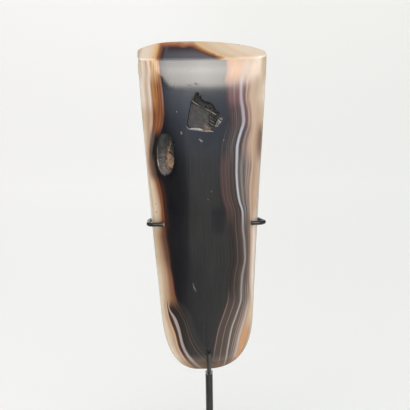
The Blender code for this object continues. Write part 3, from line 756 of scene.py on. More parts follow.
class AgateFinish(Finish):
    """Polished agate, by its layers. All of them read the place on the stone, its streaks and its grit."""

    def __init__(self, settings):
        super().__init__("polished_banded_agate", ior=1.54)
        self.settings = settings
        self.spot = self.place()
        self.across = self.axis(self.spot, 0) / MM
        self.height = self.axis(self.spot, 2) / MM - BUTT_HEIGHT / MM
        self.on_facet = self.attribute("on_facet")
        self.streaks = self.streaked(self.spot, STREAKS, 3.0)
        self.grit = self.grain(self.spot, GRIT, detail=4.0, roughness=0.7)

    def waver(self):
        """How far the bands stray from their lines here, in mm."""
        slow = (self.grain(self.spot, SLOW_WAVER) - 0.5) * self.settings.waver
        return slow + (self.grain(self.spot, QUICK_WAVER) - 0.5) * self.settings.waver * QUICK_WAVER_SHARE

    def graded(self, value, ramps):
        """Colours along the bands, from ramps that give way to one another up the stone."""
        colour = self.bands(value, ramps[0][0])
        for stops, (start, end) in ramps[1:]:
            colour = self.mix(self.height.step(start, end), colour, self.bands(value, stops))
        return colour

    def both_sides(self):
        """The bands left and right of the core, the side faces beyond them and the bevel above them."""
        waver = self.waver()
        right = self.attribute("right_band") + waver
        left = self.attribute("left_band") + waver * LEFT_WAVER_SHARE
        right_colour = self.graded(right, RIGHT_RAMPS)
        right_colour = self.mix(right.step(*RIGHT_SIDE_START), right_colour, self.bands(right, RIGHT_SIDE))
        right_colour = self.mix(self.on_facet, right_colour, self.bands(right, RIGHT_FACET))
        lift = left.step(*LIFTED_BANDS) * self.height.step(*LIFTED_BELOW)
        left_colour = self.tinted(lift, self.graded(left, LEFT_RAMPS), LEFT_LIFT)
        left_colour = self.mix(left.step(*LEFT_SIDE_START), left_colour, self.bands(left, LEFT_SIDE))
        left_colour = self.mix(self.on_facet, left_colour, self.bands(left, LEFT_FACET))
        return self.mix(self.attribute("side"), left_colour, right_colour)

    def core(self):
        """The smoky core: dark at its left, greyer low on its right but for a patch of painted shade, bluish
        below the bevel. On the bevel it is a lighter bluish grey, which is painted light.
        """
        dark, grey = tuple(self.settings.dark_core), tuple(self.settings.grey_core)
        greyer = (self.across + (self.streaks - 0.5) * STREAK_REACH).step(*GREY_RIGHT_OF)
        greyer = greyer * self.height.step(*GREY_BELOW)
        greyer = greyer * (1.0 - self.height.step(*CORNER_BELOW) * self.across.step(*CORNER_LEFT_OF))
        # A patch of painted shade at the side wire's height stays dark
        greyer = greyer * (1.0 - self.across.between(*SHADE_PATCH_ACROSS) * self.height.between(*SHADE_PATCH_UP))
        clouds = self.streaked(self.spot, CLOUDS, 3.0) - 0.5
        smoke = greyer * GREY_SHARE + (self.streaks - 0.5) * CORE_CONTRAST + clouds * CORE_CONTRAST
        bluer = self.mix(0.5 + clouds, dark, BLUE_CORE)
        below = self.mix(self.height.step(*BLUE_ABOVE) * BLUE_SHARE, self.mix(smoke, dark, grey), bluer)
        facet = self.mix(self.across.step(*FACET_PALER_RIGHT_OF), LIT_FACET_CORE, LIT_FACET_CORE_RIGHT)
        facet = self.mix(self.height.step(*FACET_EDGE_BELOW), FACET_EDGE_CORE, facet)
        return self.mix(self.on_facet, below, facet)

    def with_fine_lines(self, colour):
        """Adds fibres, the pale comb of lines low on the right, dark strokes and the tan tint of the butt."""
        fibres = self.streaked(self.spot, FIBRES, 2.0).step(*FIBRE_STEP)
        colour = self.tinted(fibres * FIBRE_SHARE, colour, STREAK_TINT)
        comb = self.attribute("comb") * (math.tau / COMB_PERIOD) + (self.streaks - 0.5) * COMB_WAVER
        comb = comb.math("SINE", comb).step(*COMB_STEP) * self.attribute("comb_share")
        colour = self.mix(comb * self.settings.comb_strength, colour, self.mix(0.5, colour, PALE))
        strokes = self.streaked(self.spot, STROKES, 2.0).step(*STROKE_STEP)
        colour = self.tinted(strokes * self.attribute("strokes"), colour, STROKE_TINT)
        return self.mix(self.height.step(*BUTT_TAN_BELOW) * BUTT_TAN_SHARE, colour, BUTT_TAN)

    def with_fringe(self, colour):
        """Lightens the stone where light comes through its thin upper edge."""
        fringe = self.attribute("fringe")
        ragged = (self.grain(self.spot, FRINGE_WAVER, detail=3.0) - 0.5) * FRINGE_RAGGEDNESS
        wavy = fringe + ragged * fringe.step(*FRINGE_RAGGED_FROM)
        strong = self.across.step(*FRINGE_STRONG_RIGHT_OF)
        wavy = wavy * (FRINGE_LEFT_SHARE + strong * FRINGE_RIGHT_EXTRA)
        lit = self.mix(1.0, colour, self.bands(wavy, FRINGE), "LIGHTEN")
        return self.mix(wavy.step(*FRINGE_START), colour, lit)

    def raw_stone(self):
        """The pits' floors: grey in the crystal pit, green over warm brown in the eye pit. Their darkening is
        partly painted shade, and their glints are partly white quartz and partly painted highlight.
        """
        blotches = self.grain(self.spot, BLOTCHES, detail=3.0) * BLOTCH_SHARE + self.grit * (1 - BLOTCH_SHARE)
        eye = self.mix(self.height.step(*EYE_WARM_BELOW), self.bands(blotches, PIT_GREEN),
                       self.bands(blotches, PIT_WARM))
        stone = self.mix(self.across.step(*EYE_LEFT_OF), self.bands(blotches, PIT_GREY), eye)
        # Darkening in the pits, partly painted shade
        stone = self.mix(self.attribute("mottle_and_shade"), stone, self.bands(self.grit, PIT_DARK))
        stone = self.mix(self.attribute("fill"), stone, self.bands(blotches, PIT_FILL))
        # Glints in the pits: partly white quartz, partly painted highlight
        return self.mix(self.attribute("glint"), stone, tuple(self.settings.crystal_glint))

    def with_marks(self, colour):
        """Adds the small pale and dark marks, some dark ones a painted shadow. It gives the new colour and the
        marks' dents.
        """
        dents = 0.0
        for right_of_axis, up, radius, depth, pale in MARKS:
            x = right_of_axis * MM
            centre = (x, surface_y(x, up * MM), BUTT_HEIGHT + up * MM)
            away = self.node("ShaderNodeVectorMath", {"operation": "DISTANCE"}, {0: self.spot, 1: centre},
                             output=1)
            mark = (away / (radius * MM) + (self.grit - 0.5) * MARK_RAGGEDNESS).step(*MARK_RIM)
            colour = self.mix(mark * self.settings.mark_strength, colour, PALE_MARK if pale else DARK_MARK_AND_SHADOW)
            dents = mark * depth + dents
        return colour, dents


def agate_finish(settings):
    """Polished agate: two families of bands, one on each side of a smoky core, with raw pits and marks."""
    agate = AgateFinish(settings)
    rock = agate.attribute("rock")
    colour = agate.mix(agate.attribute("core_share"), agate.both_sides(), agate.core())
    colour = agate.with_fringe(agate.with_fine_lines(colour))
    # Painted shade round the pits, in a darker core colour
    colour = agate.mix(agate.attribute("halo") * PIT_SHADE_SHARE, colour, SHADED_CORE)
    colour = agate.mix(rock, colour, agate.raw_stone())
    colour, dents = agate.with_marks(colour)
    haze = agate.grain(agate.spot, HAZE, detail=5.0)
    roughness = settings.polish + haze * HAZE_ROUGHNESS + rock * RAW_ROUGHNESS
    relief = agate.grain(agate.spot, PITTING, detail=3.0) * (rock * RAW_RELIEF + POLISHED_RELIEF)
    bump = agate.bump(relief - dents * DENT_RELIEF, 1.0, RELIEF_DEPTH)
    return agate.finish(base_color=colour, roughness=roughness, normal=bump)


# Meshes

def new_object(name, mesh, *finishes):
    made = bpy.data.objects.new(name, mesh)
    bpy.context.scene.collection.objects.link(made)
    for finish in finishes:
        mesh.materials.append(finish)
    return made


def mesh_from(bm, name):
    """The finished mesh, shaded smooth but for its sharp edges."""
    mesh = bpy.data.meshes.new(name)
    bm.to_mesh(mesh)
    bm.free()
    mesh.shade_smooth()
    mesh.set_sharp_from_angle(angle=CREASE_ANGLE)
    return mesh


def outline_point(height, swing):
    """A point of the blade's surface: swing runs from 0 at the right side, by the back, to pi at the left."""
    key = round(height, 6)
    if key not in OUTLINES:
        OUTLINES[key] = outline(key)
    run, x, y = OUTLINES[key][0 if swing < 0 else 1]
    share = abs(swing) / math.pi
    return float(np.interp(share, run, x)), float(np.interp(share, run, y))


def rim_point(swing):
    """Where the bevel's plane cuts the surface, on the line of points with this swing."""
    start = float(face_y(EDGE_CREST_X, BEVEL_START, True))
    height = BEVEL_START
    for _ in range(RIM_STEPS):
        x, y = outline_point(round(height, 5), swing)
        height = BEVEL_START + (y - start) * math.tan(BEVEL_RISE)
    return x, y, height


def eased_rim(point, away, rim, middle, swing):
    """The point, or its place on the rim's rounding. away is its distance from the rim, negative below it."""
    soft = float(smooth(*ARRIS_START, -math.sin(swing)))
    reach = min(EDGE_ROUND + (ARRIS_ROUND - EDGE_ROUND) * soft, (middle - rim).length * MOST_ROUND_SHARE)
    if abs(away) >= reach:
        return point
    under = Vector((*outline_point(rim.z - reach, swing), rim.z - reach))
    over = rim + (middle - rim).normalized() * reach
    share = (away + reach) / (2 * reach)
    return under.lerp(rim, share).lerp(rim.lerp(over, share), share)


def blade_form(chip_depth):
    """The blade before its hollows: a sphere drawn out along the outlines, its top laid on the bevel."""
    bm = bmesh.new()
    rings = BODY_RINGS + FACET_RINGS + 1
    bmesh.ops.create_uvsphere(bm, u_segments=BLADE_SEGMENTS, v_segments=rings, radius=1)
    rims = {}
    pole = None
    for vertex in bm.verts:
        ring = round(math.acos(max(-1.0, min(1.0, -vertex.co.z))) / math.pi * rings)
        if ring == rings:
            pole = vertex
            continue
        if ring == 0:
            vertex.co = (float(level(0.0)["crest"]), 0, BUTT_HEIGHT)
            continue
        swing = round(math.atan2(vertex.co.y, vertex.co.x), 5)
        for side in (swing, -swing):
            if side not in rims:
                rims[side] = Vector(rim_point(side))
        rim, middle = rims[swing], (rims[swing] + rims[-swing]) / 2
        if ring <= BODY_RINGS:
            height = ring_height(ring, rim.z)
            point = Vector((*outline_point(height, swing), height))
            away = -(rim - point).length
        else:
            point = rim.lerp(middle, FACET_RING_SHARES[ring - BODY_RINGS - 1])
            away = (point - rim).length
        vertex.co = eased_rim(point, away, rim, middle, swing) + Vector((0, 0, BUTT_HEIGHT))
    bmesh.ops.delete(bm, geom=[pole], context="VERTS")
    slit = [edge for edge in bm.edges if edge.is_boundary]
    middle = bmesh.ops.holes_fill(bm, edges=slit)["faces"]
    bmesh.ops.triangulate(bm, faces=middle, quad_method="BEAUTY", ngon_method="BEAUTY")
    bmesh.ops.recalc_face_normals(bm, faces=bm.faces)
    chip_edges(bm, chip_depth)
    return bm


def chip_edges(bm, share):
    """Presses a shallow chip into the edges at each named place, at this share of its depth."""
    for across, height, wide, high, depth in CHIPS:
        down = EDGE_CHIP_DOWN if height > CUTTING_EDGE_ABOVE else CHIP_DOWN
        inward = Vector((-across * CHIP_INWARD, CHIP_BACK, -down)).normalized()
        for vertex in bm.verts:
            u = (vertex.co.x / MM - across) / wide
            v = ((vertex.co.z - BUTT_HEIGHT) / MM - height) / high
            reach = u * u + v * v
            if reach < 1 and vertex.co.y < CHIPS_IN_FRONT_OF:
                vertex.co += inward * depth * MM * share * (1 - reach) ** CHIP_FALL_OFF


def step_distance(points, start, end):
    """Distance of points from the straight line between two places."""
    along = end - start
    share = np.clip(((points - start) @ along) / (along @ along), 0, 1)
    return np.linalg.norm(points - start - share[:, None] * along, axis=1)


def beside(points, line):
    """Distance of points from an open line."""
    corners = np.array(line, float)
    return np.min([step_distance(points, start, end) for start, end in zip(corners, corners[1:])], axis=0)


def inside(points, closed):
    """How far points lie inside a closed outline, in its own units. It is negative outside."""
    corners = np.array((*closed, closed[0]), float)
    crossings = np.zeros(len(points), int)
    for start, end in zip(corners, corners[1:]):
        spans = (start[1] > points[:, 1]) != (end[1] > points[:, 1])
        run, rise = end - start
        crossings += spans & (points[:, 0] < start[0] + (points[:, 1] - start[1]) * run / (rise or 1e-9))
    nearest = beside(points, corners)
    return np.where(crossings % 2 == 1, nearest, -nearest)


def ripple(points, size, seed):
    """Noise of -1 to 1 over points in mm."""
    return np.array([noise.noise(Vector((x / size, y / size, seed))) for x, y in points])


def zone(*limits):
    """1 where every value is past its soft step, given as (value, low, high), and 0 outside."""
    share = 1.0
    for value, low, high in limits:
        share = share * smooth(low, high, value)
    return share


class CrystalPit:
    """The angular pit, at points in mm from its centre: floor, ledge above the ridge, and striated lobe."""

    centre = CRYSTAL_CENTRE
    half_size = CRYSTAL_HALF_SIZE

    def __init__(self, points, full_depth):
        self.points, self.full_depth = points, full_depth
        self.u, self.v = points.T
        self.rough, self.fine = ripple(points, *CRYSTAL_ROUGH), ripple(points, *CRYSTAL_FINE)
        self.floor = inside(points, CRYSTAL_FLOOR) + 0.2 * self.fine
        self.ledge = inside(points, CRYSTAL_LEDGE) + 0.9 * self.fine + 0.7 * self.rough
        self.lobe = inside(points, CRYSTAL_LOBE) + 0.9 * self.fine + 0.5 * self.rough
        self.ridge = beside(points, CRYSTAL_RIDGE)
        self.stair = ((self.v + STRIA_SLANT * self.u) / STRIA_PITCH) % 1.0
        self.striated = zone((self.u, 5.0, 8.0), (self.v, 2.5, 0.5))

    def depth(self):
        """Depth in mm. The ridge stands up between floor and ledge, and the floor's right side is stepped."""
        wall = np.where(self.v < -5.5, 1.5, 0.55)
        floor = self.full_depth - 0.06 * self.u + 0.02 * self.v + 0.08 * self.rough + 0.03 * self.fine
        floor = floor * smooth(0, 1, self.floor / wall)
        floor = floor - self.striated * (0.9 * self.stair + 0.1 * self.rough) * smooth(0, 1.2, self.floor)
        ledge = (1.3 + 0.6 * self.rough + 0.4 * self.fine) * smooth(-0.3, 2.4, self.ledge)
        lobe = (0.06 + 0.05 * self.stair + 0.03 * self.fine) * smooth(0, 3.0, self.lobe)
        depth = np.maximum(np.maximum(floor, ledge * (self.floor < 0.4)), lobe)
        return np.maximum(depth - smooth(0.7, 0.1, self.ridge) * np.minimum(depth, 0.9), 0)

    def rock(self):
        """Share of raw stone: all of the floor and ledge, and patches of the lobe."""
        patches = 0.25 + 0.5 * smooth(-0.2, 0.4, self.rough + self.fine)
        rock = np.maximum(smooth(0.0, 0.5, self.floor), smooth(-0.8, 2.2, self.ledge))
        return np.maximum(rock, smooth(0.0, 2.0, self.lobe) * patches)

    def fill(self):
        """Share of brown fill."""
        return smooth(-0.6, 0.5, inside(self.points, BROWN_PATCH) + 0.7 * self.fine) * 0.6

    def glint(self):
        """Share of bright crystal, partly white quartz and partly painted highlight: the lower rim, the
        ridge's crest, the steps' edges, part of the lobe.
        """
        u, rough, fine = self.u, self.rough, self.fine
        breadth = 0.45 + 0.55 * zone((u, -7, -5), (u, 1.5, -0.5)) + 0.1 * smooth(3, 6, u)
        rim = smooth(1.1, 0.3, (beside(self.points, CRYSTAL_LOWER_RIM) + 0.35 * fine) / breadth)
        rim = rim * (1 - zone((u, 0, 2), (fine, 0.1, -0.3)))
        crest = zone((self.ridge + 0.15 * fine, 0.4, 0.08), (rough + 0.5 * fine, -0.9, -0.4))
        crest = crest * (0.75 * smooth(2, 6, u) + 0.7 * smooth(4, -2, u))
        steps = self.striated * zone((self.stair, 0.8, 0.95), (self.floor, 0.3, 1), (rough, -0.4, 0.2))
        flank = zone((fine + 0.4 * rough, 0.15, 0.45), (self.lobe, 0.4, 1.4))
        inner = np.maximum(crest, np.maximum(steps * 0.6, flank * 0.05))
        return np.maximum(rim * (1 - 0.6 * self.fill()), inner)

    def mottle_and_shade(self):
        """Share of darkness: painted shade under the ridge, in the left corner and in the grooves between the
        steps, the ledge's dark blotches, and a darkening of the floor towards its top and right.
        """
        u, v, floor, rough, fine = self.u, self.v, self.floor, self.rough, self.fine
        under_ridge = zone((self.ridge, 0.4, 0.9), (self.ridge, 2.0, 1.2), (floor, 0.4, 1.2),
                           (rough, -0.6, 0.2))
        corner = zone((floor, 1.1, 0.3), (v, -5, -4), (u, -1, -3))
        ledge = zone((self.ledge, -0.2, 0.8), (floor, 0.6, 0.2)) * (0.85 + 0.6 * rough + 0.3 * fine)
        shade = 0.5 * zone((u, -5, 4), (v, -8, -5)) + 0.35 * smooth(-5, 3, v)
        grooves = self.striated * smooth(0.4, 0.15, self.stair)
        return np.clip(ledge + corner + under_ridge + shade + grooves, 0, 1)


class EyePit:
    """As CrystalPit, for the upright oval pit on the left."""

    centre = EYE_CENTRE
    half_size = (EYE_HALF_WIDTH, EYE_HALF_HEIGHT)

    def __init__(self, points, full_depth):
        self.points, self.full_depth = points, full_depth
        self.u, self.v = points.T
        self.rough, self.fine = ripple(points, *EYE_ROUGH), ripple(points, *EYE_FINE)
        across, up = np.abs(self.u / EYE_HALF_WIDTH), np.abs(self.v / EYE_HALF_HEIGHT)
        oval = across ** EYE_SQUARENESS + up ** EYE_SQUARENESS
        self.reach = oval ** (1 / EYE_SQUARENESS) + 0.03 * self.fine
        self.vein = smooth(0.7, 0.1, beside(points, EYE_VEIN) + 0.35 * self.fine) * 0.85
        self.crack = smooth(1.4, 0.4, beside(points, EYE_CRACK) + 0.4 * self.fine)
        filled = smooth(-0.5, 0.7, inside(points, EYE_FILL) + 0.9 * self.fine + 0.5 * self.rough)
        self.filled = filled * (1 - 0.55 * smooth(0.3, 0.7, ripple(points, *EYE_GAPS)))
        self.base = zone((self.v + 1.2 * self.fine + 0.8 * self.rough, -7.0, -13), (self.u, 5, 0))

    def depth(self):
        """Depth in mm. Fill and vein stand up from the bowl, and the crack runs down into it."""
        bowl = np.clip(1 - self.reach**2, 0, 1) ** np.where(self.u > 0, 0.4, 0.65)
        raised = np.maximum(self.filled, self.vein) * 1.3
        floor = bowl * (self.full_depth - raised + 0.25 * self.rough + 0.12 * self.fine)
        return floor + self.crack * 0.8 * self.rock()

    def rock(self):
        """Share of raw stone: all of the bowl."""
        return smooth(1.02, 0.94, self.reach)

    def fill(self):
        """Share of brown fill, with the vein and a little of the base."""
        filled = np.maximum(self.filled, self.base * 0.1)
        return np.maximum(filled, self.vein) * (1 - self.crack)

    def glint(self):
        """Share of bright crystal, partly white quartz and partly painted highlight: the left rim, brightest
        at one spot, small ledges and the base.
        """
        u, v = self.u, self.v
        leftward = smooth(0.2, -0.7, u / EYE_HALF_WIDTH)
        spot = smooth(3.2, 1.2, np.abs(v + 6.2)) * leftward
        rim = smooth(0.08, 0.02, np.abs(self.reach - 0.96)) * (leftward * 0.2 * smooth(8, 3, v) + spot * 0.75)
        layered = ripple(self.points * np.array((0.5, 1.6)), *EYE_LAYERS)
        ledges = zone((layered, 0.1, 0.5), (v, 1, -6), (u, 1, -2))
        filled = np.maximum(self.filled, self.base * 0.1)
        bright = np.maximum(rim, np.maximum(ledges * 0.22, self.base * 0.04))
        return bright * (1 - filled) * (1 - self.crack)

    def mottle_and_shade(self):
        """Share of darkness: painted shade on the right side, in the rows of gaps on the left and in the
        crack, and a darkening towards the top.
        """
        u, v, rough = self.u, self.v, self.rough
        dark = zone((u, 3.0, 4.6), (np.abs(v + 6), 1.0, 2.5)) + 0.35 * smooth(0, 4, v + 0.8 * rough)
        gaps = zone((np.sin(2 * v + 0.8 * rough), 0.2, 0.9), (u, -4, -2.4), (u, 1.2, -0.4))
        gaps = 0.75 * gaps * zone((v, 2.5, 0.5), (v, -10.5, -8.5))
        return np.clip(dark + gaps + self.crack, 0, 1)


def pit_offset(pit, place):
    """How far a place lies across and up from the pit's centre, in mm."""
    return place.x / MM - pit.centre[0], (place.z - BUTT_HEIGHT) / MM - pit.centre[1]


def near_pit(pit, place):
    """Whether a place is on the front, and in the pit or within a margin of it."""
    u, v = pit_offset(pit, place)
    return abs(u) < pit.half_size[0] + PIT_MARGIN and abs(v) < pit.half_size[1] + PIT_MARGIN and place.y < 0


def sink_pits(bm, settings):
    """Makes the mesh finer round each hollow, sculpts it, and stores on each vertex its shares of raw stone,
    fill, glint and darkness, the last two partly painted highlight and painted shade.
    """
    layers = [bm.verts.layers.float.new(key) for key in ("rock", "fill", "glint", "mottle_and_shade")]
    for pit, full_depth in ((CrystalPit, settings.crystal_depth / MM), (EyePit, settings.eye_depth / MM)):
        faces = [face for face in bm.faces if near_pit(pit, face.calc_center_median())]
        edges = {edge for face in faces for edge in face.edges}
        bmesh.ops.subdivide_edges(bm, edges=list(edges), cuts=PIT_CUTS, use_grid_fill=True)
        verts = [vertex for vertex in bm.verts if near_pit(pit, vertex.co)]
        here = pit(np.array([pit_offset(pit, vertex.co) for vertex in verts]), full_depth)
        shares = (here.rock(), here.fill(), here.glint(), here.mottle_and_shade())
        for vertex, sink, *values in zip(verts, here.depth(), *shares):
            vertex.co.y += float(sink) * MM
            for layer, value in zip(layers, values):
                vertex[layer] = value


# Where the second of each family's lines runs: shares of the way between two named lines, and a limit in mm
SECOND_RIGHT_SHARE = 0.55
SECOND_RIGHT_LIMIT = 4.1
DRAWN_LEFT_BELOW = 55
RIGHT_CORE_SCALE = 1.0
LEFT_CORE_SCALE = 0.25

# How far the bands shift sideways for each mm of depth, at heights in mm, and the same on the bevel
SHIFT_HEIGHTS = (0, 110, 190, 215, 240)
RIGHT_SHIFTS = (0.25, 0.5, 0.9, 1.5, 1.55)
FACET_SHIFT = 2.35
FACET_SHIFT_LOSS = 0.052
LEFT_SHIFT = 0.3
LEFT_FACET_SHIFT_LOSS = 0.1
SIDE_SHIFT = 0.6
SIDE_BLEND = 3
CORE_MIDDLE_SHIFT = 4

# Soft steps, in mm or in band numbers
FACET_RIM = (1.8, 0.5)
UNDER_ARRIS = (218, 227)
UNDER_ARRIS_BANDS = (-9, -13)
UNDER_ARRIS_SHIFT = 2.8
FRINGE_ABOVE_BEVEL_START = (-6, 7)
CORE_RIGHT = (-11.5, -15.5)
CORE_RIGHT_FACET_SHIFT = 10.5
CORE_LEFT_RIM = (-0.4, -1.2)


def vertex_values(attribute, name, count):
    """The numbers that a mesh stores for each vertex under this name."""
    values = np.empty(count)
    attribute.foreach_get(name, values)
    return values


def band_numbers(outward, lines, core_scale):
    """Numbers that grow outward over the bands, through the one that each line has."""
    numbers = (outward - lines[0][0]) * core_scale
    for (line, start), (next_line, end) in zip(lines, lines[1:]):
        share = (outward - line) / (next_line - line)
        numbers = np.where(outward >= line, start + (end - start) * share, numbers)
    return numbers


def right_numbers(across, height, rim):
    """Band numbers right of the core, and how far each point lies beyond the line of the tan bands."""
    main, tan = on_line(MAIN_BAND, height), on_line(TAN_EDGE, height)
    second = main + np.minimum(SECOND_RIGHT_LIMIT, SECOND_RIGHT_SHARE * (tan - main))
    lines = ((main, 0), (second, 3), (tan, 6), (np.maximum(rim, tan + 1), 12))
    return band_numbers(across, lines, RIGHT_CORE_SCALE), across - tan


def left_numbers(across, height, rim):
    """Band numbers left of the core. Near the butt two more lines are drawn, and above they are shares."""
    core, cream = on_line(CORE_LEFT, height), on_line(CREAM_LEFT, height)
    drawn = height < DRAWN_LEFT_BELOW
    inner = np.where(drawn, on_line(INNER_LEFT, height), core + (cream - core) / 3)
    white = np.where(drawn, on_line(WHITE_LEFT, height), core + (cream - core) * 2 / 3)
    lines = ((-core, 0), (-inner, 1), (-white, 2), (-cream, 3), (-np.minimum(rim, cream - 1), 5))
    return band_numbers(-across, lines, LEFT_CORE_SCALE)


def comb_share(right, height):
    """Where the finest lines show: near the butt, and more faintly in two stretches above."""
    low = zone((height, 72, 60), (right, 1.2, 2.4), (right, 6.8, 6.0))
    middle = zone((height, 126, 136), (height, 176, 166), (right, 3.0, 3.6), (right, 6.4, 5.8))
    high = zone((height, 196, 186), (height, 150, 160), (right, -8.5, -7.5), (right, -1.5, -2.5))
    return low + middle * 0.6 + high * 0.25


def stroke_share(left, right, height, on_facet):
    """Where dark strokes run along the bands: most in the left's amber, and faintly on the side faces."""
    amber = zone((left, 0.5, 0.8), (left, 3.0, 2.7), (height, 178, 190)) * 0.6
    return (amber + smooth(3.1, 3.4, left) * 0.16 + smooth(6, 8, right) * 0.16) * (1 - on_facet)


def painted_pit_shade(x, height):
    """Painted shade close round the crystal pit's ledge and on the eye pit's right side, at places in mm."""
    places = np.stack([x - CRYSTAL_CENTRE[0], height - CRYSTAL_CENTRE[1]], axis=1)
    eye_u, eye_v = x - EYE_CENTRE[0], height - EYE_CENTRE[1]
    eye = np.hypot(eye_u / EYE_HALF_WIDTH, eye_v / EYE_HALF_HEIGHT)
    round_ledge = smooth(-4.5, 0.5, inside(places, CRYSTAL_LEDGE))
    return np.maximum(round_ledge, zone((eye, 1.8, 1.0), (eye_u, 1.0, 4.0)))


def band_attributes(mesh):
    """Stores on each vertex where it lies among the bands, so that the finish follows the stone's layers."""
    count = len(mesh.vertices)
    x, y, z = vertex_values(mesh.vertices, "co", count * 3).reshape(-1, 3).T
    flat_y = vertex_values(mesh.attributes["flat_y"].data, "value", count)
    up = np.maximum(z - BUTT_HEIGHT, 0.0)
    depth = np.maximum(flat_y - face_y(x, up, True), 0.0) / MM
    behind = np.maximum(face_y(x, up, False) - y, 0.0) / MM
    here = level(up)
    left_rim, right_rim = ((here["crest"] + width) / MM for width in half_widths(here, up))
    x, up, bevel_start = x / MM, up / MM, BEVEL_START / MM
    rise = (y - face_y(EDGE_CREST_X, BEVEL_START, True)) / MM * math.tan(BEVEL_RISE)
    on_facet = smooth(*FACET_RIM, rise + bevel_start - up)
    shift = np.interp(up, SHIFT_HEIGHTS, RIGHT_SHIFTS)
    across_right = x + depth * (shift + on_facet * (FACET_SHIFT - shift - FACET_SHIFT_LOSS * depth))
    across_left = x - depth * (LEFT_SHIFT - LEFT_FACET_SHIFT_LOSS * on_facet)
    height = np.minimum(up, bevel_start)
    right, past_tan = right_numbers(across_right, height, right_rim)
    under_arris = smooth(*UNDER_ARRIS, height) * (1 - on_facet)
    right = right + under_arris * smooth(*UNDER_ARRIS_BANDS, right) * UNDER_ARRIS_SHIFT
    left = left_numbers(across_left, height, left_rim)
    middle = (on_line(CORE_LEFT, height) + on_line(MAIN_BAND, height)) / 2 - CORE_MIDDLE_SHIFT
    right_of_core = smooth(*CORE_RIGHT, right + on_facet * CORE_RIGHT_FACET_SHIFT)
    thin = np.clip(1 - behind / FRINGE_REACH, 0, 1)
    values = {
        "fringe": thin * smooth(*FRINGE_ABOVE_BEVEL_START, up - bevel_start),
        "strokes": stroke_share(left, right, height, on_facet),
        # Painted shade round the pits
        "halo": painted_pit_shade(x, up) * (y < 0),
        "right_band": right,
        "left_band": left,
        "side": smooth(-SIDE_BLEND, SIDE_BLEND, x - middle + depth * SIDE_SHIFT),
        "on_facet": on_facet,
        "core_share": right_of_core * smooth(*CORE_LEFT_RIM, left),
        "comb": past_tan,
        "comb_share": comb_share(right, height),
    }
    for name, value in values.items():
        mesh.attributes.new(name, "FLOAT", "POINT").data.foreach_set("value", value.astype(np.float32))


def build_blade(name, settings):
    """The blade. Its finish reads how far forward each vertex was before the pits were sunk."""
    bm = blade_form(settings.chip_depth)
    flat_y = bm.verts.layers.float.new("flat_y")
    for vertex in bm.verts:
        vertex[flat_y] = vertex.co.y
    sink_pits(bm, settings)
    mesh = mesh_from(bm, name)
    band_attributes(mesh)
    return new_object(name, mesh, agate_finish(settings))


def bent_path(corners, radii):
    """Points of a wire bent at these corners, each bend an arc of its own radius."""
    points = [corners[0]]
    for before, corner, after, radius in zip(corners, corners[1:], corners[2:], radii):
        into, out = (corner - before).normalized(), (after - corner).normalized()
        turn = into.angle(out)
        set_back = radius * math.tan(turn / 2)
        centre = corner - into * set_back + (out - into * into.dot(out)).normalized() * radius
        arm = corner - into * set_back - centre
        for step in range(BEND_STEPS + 1):
            swing = turn * step / BEND_STEPS
            points.append(centre + arm * math.cos(swing) + into * radius * math.sin(swing))
    points.append(corners[-1])
    return points


def cradle_path():
    """Front tip, down the front of the butt, under it, and up the back to just above the side wire."""
    away = WIRE_RADIUS + GAP
    front = float(face_y(0, CRADLE_TIP_HEIGHT, True)) - away
    floor = BUTT_HEIGHT - away
    spine_top = SIDE_WIRE_HEIGHT + SPINE_ABOVE_SIDE_WIRE
    back_low = float(face_y(0, CRADLE_TIP_HEIGHT, False)) + away
    back_high = float(face_y(0, SIDE_WIRE_HEIGHT, False)) + away
    slope = (back_high - back_low) / (SIDE_WIRE_HEIGHT - CRADLE_TIP_HEIGHT)
    corners = [Vector((0, front, BUTT_HEIGHT + CRADLE_TIP_HEIGHT)),
               Vector((0, front, floor)),
               Vector((0, back_low - slope * CRADLE_TIP_HEIGHT, floor)),
               Vector((0, back_low + slope * (spine_top - CRADLE_TIP_HEIGHT), BUTT_HEIGHT + spine_top))]
    return bent_path(corners, [CRADLE_BEND_RADIUS] * 2)


def side_path():
    """Left tip, round the left edge, across behind the spine, round the right edge, right tip."""
    here = {key: float(value) for key, value in level(SIDE_WIRE_HEIGHT).items()}
    away = SIDE_RADIUS + GAP
    z = BUTT_HEIGHT + SIDE_WIRE_HEIGHT
    behind = float(face_y(0, SIDE_WIRE_HEIGHT, False)) + 2 * (WIRE_RADIUS + GAP) + SIDE_RADIUS
    left_out, right_out = here["left"] - away - LEFT_LOOP_SLACK, here["right"] + away + RIGHT_LOOP_SLACK
    left_tip, right_tip = here["left"] + LEFT_HOOK_REACH, here["right"] - RIGHT_HOOK_REACH
    front_left = float(face_y(left_tip, SIDE_WIRE_HEIGHT, True)) - away
    front_right = float(face_y(right_tip, SIDE_WIRE_HEIGHT, True)) - away
    corners = [Vector((left_tip, front_left, z)),
               Vector((left_out, front_left, z)),
               Vector((left_out, here["left_back"] + away, z)),
               Vector((left_out * STRAIGHT_BACK_SHARE, behind, z)),
               Vector((right_out * STRAIGHT_BACK_SHARE, behind, z)),
               Vector((here["right"] + away, here["right_back"] + away, z)),
               Vector((right_out, (front_right + here["right_front"]) / 2, z)),
               Vector((right_out - RIGHT_LOOP_SLACK, front_right, z)),
               Vector((right_tip, front_right, z))]
    hook, back = [SIDE_HOOK_BEND_RADIUS], [SIDE_BACK_BEND_RADIUS]
    return bent_path(corners, hook + back * 4 + hook * 2)


def evened(points, spacing):
    """The same path with no two points further apart than the spacing."""
    path = [points[0]]
    for start, end in zip(points, points[1:]):
        steps = max(1, math.ceil((end - start).length / spacing))
        path += [start.lerp(end, step / steps) for step in range(1, steps + 1)]
    return path


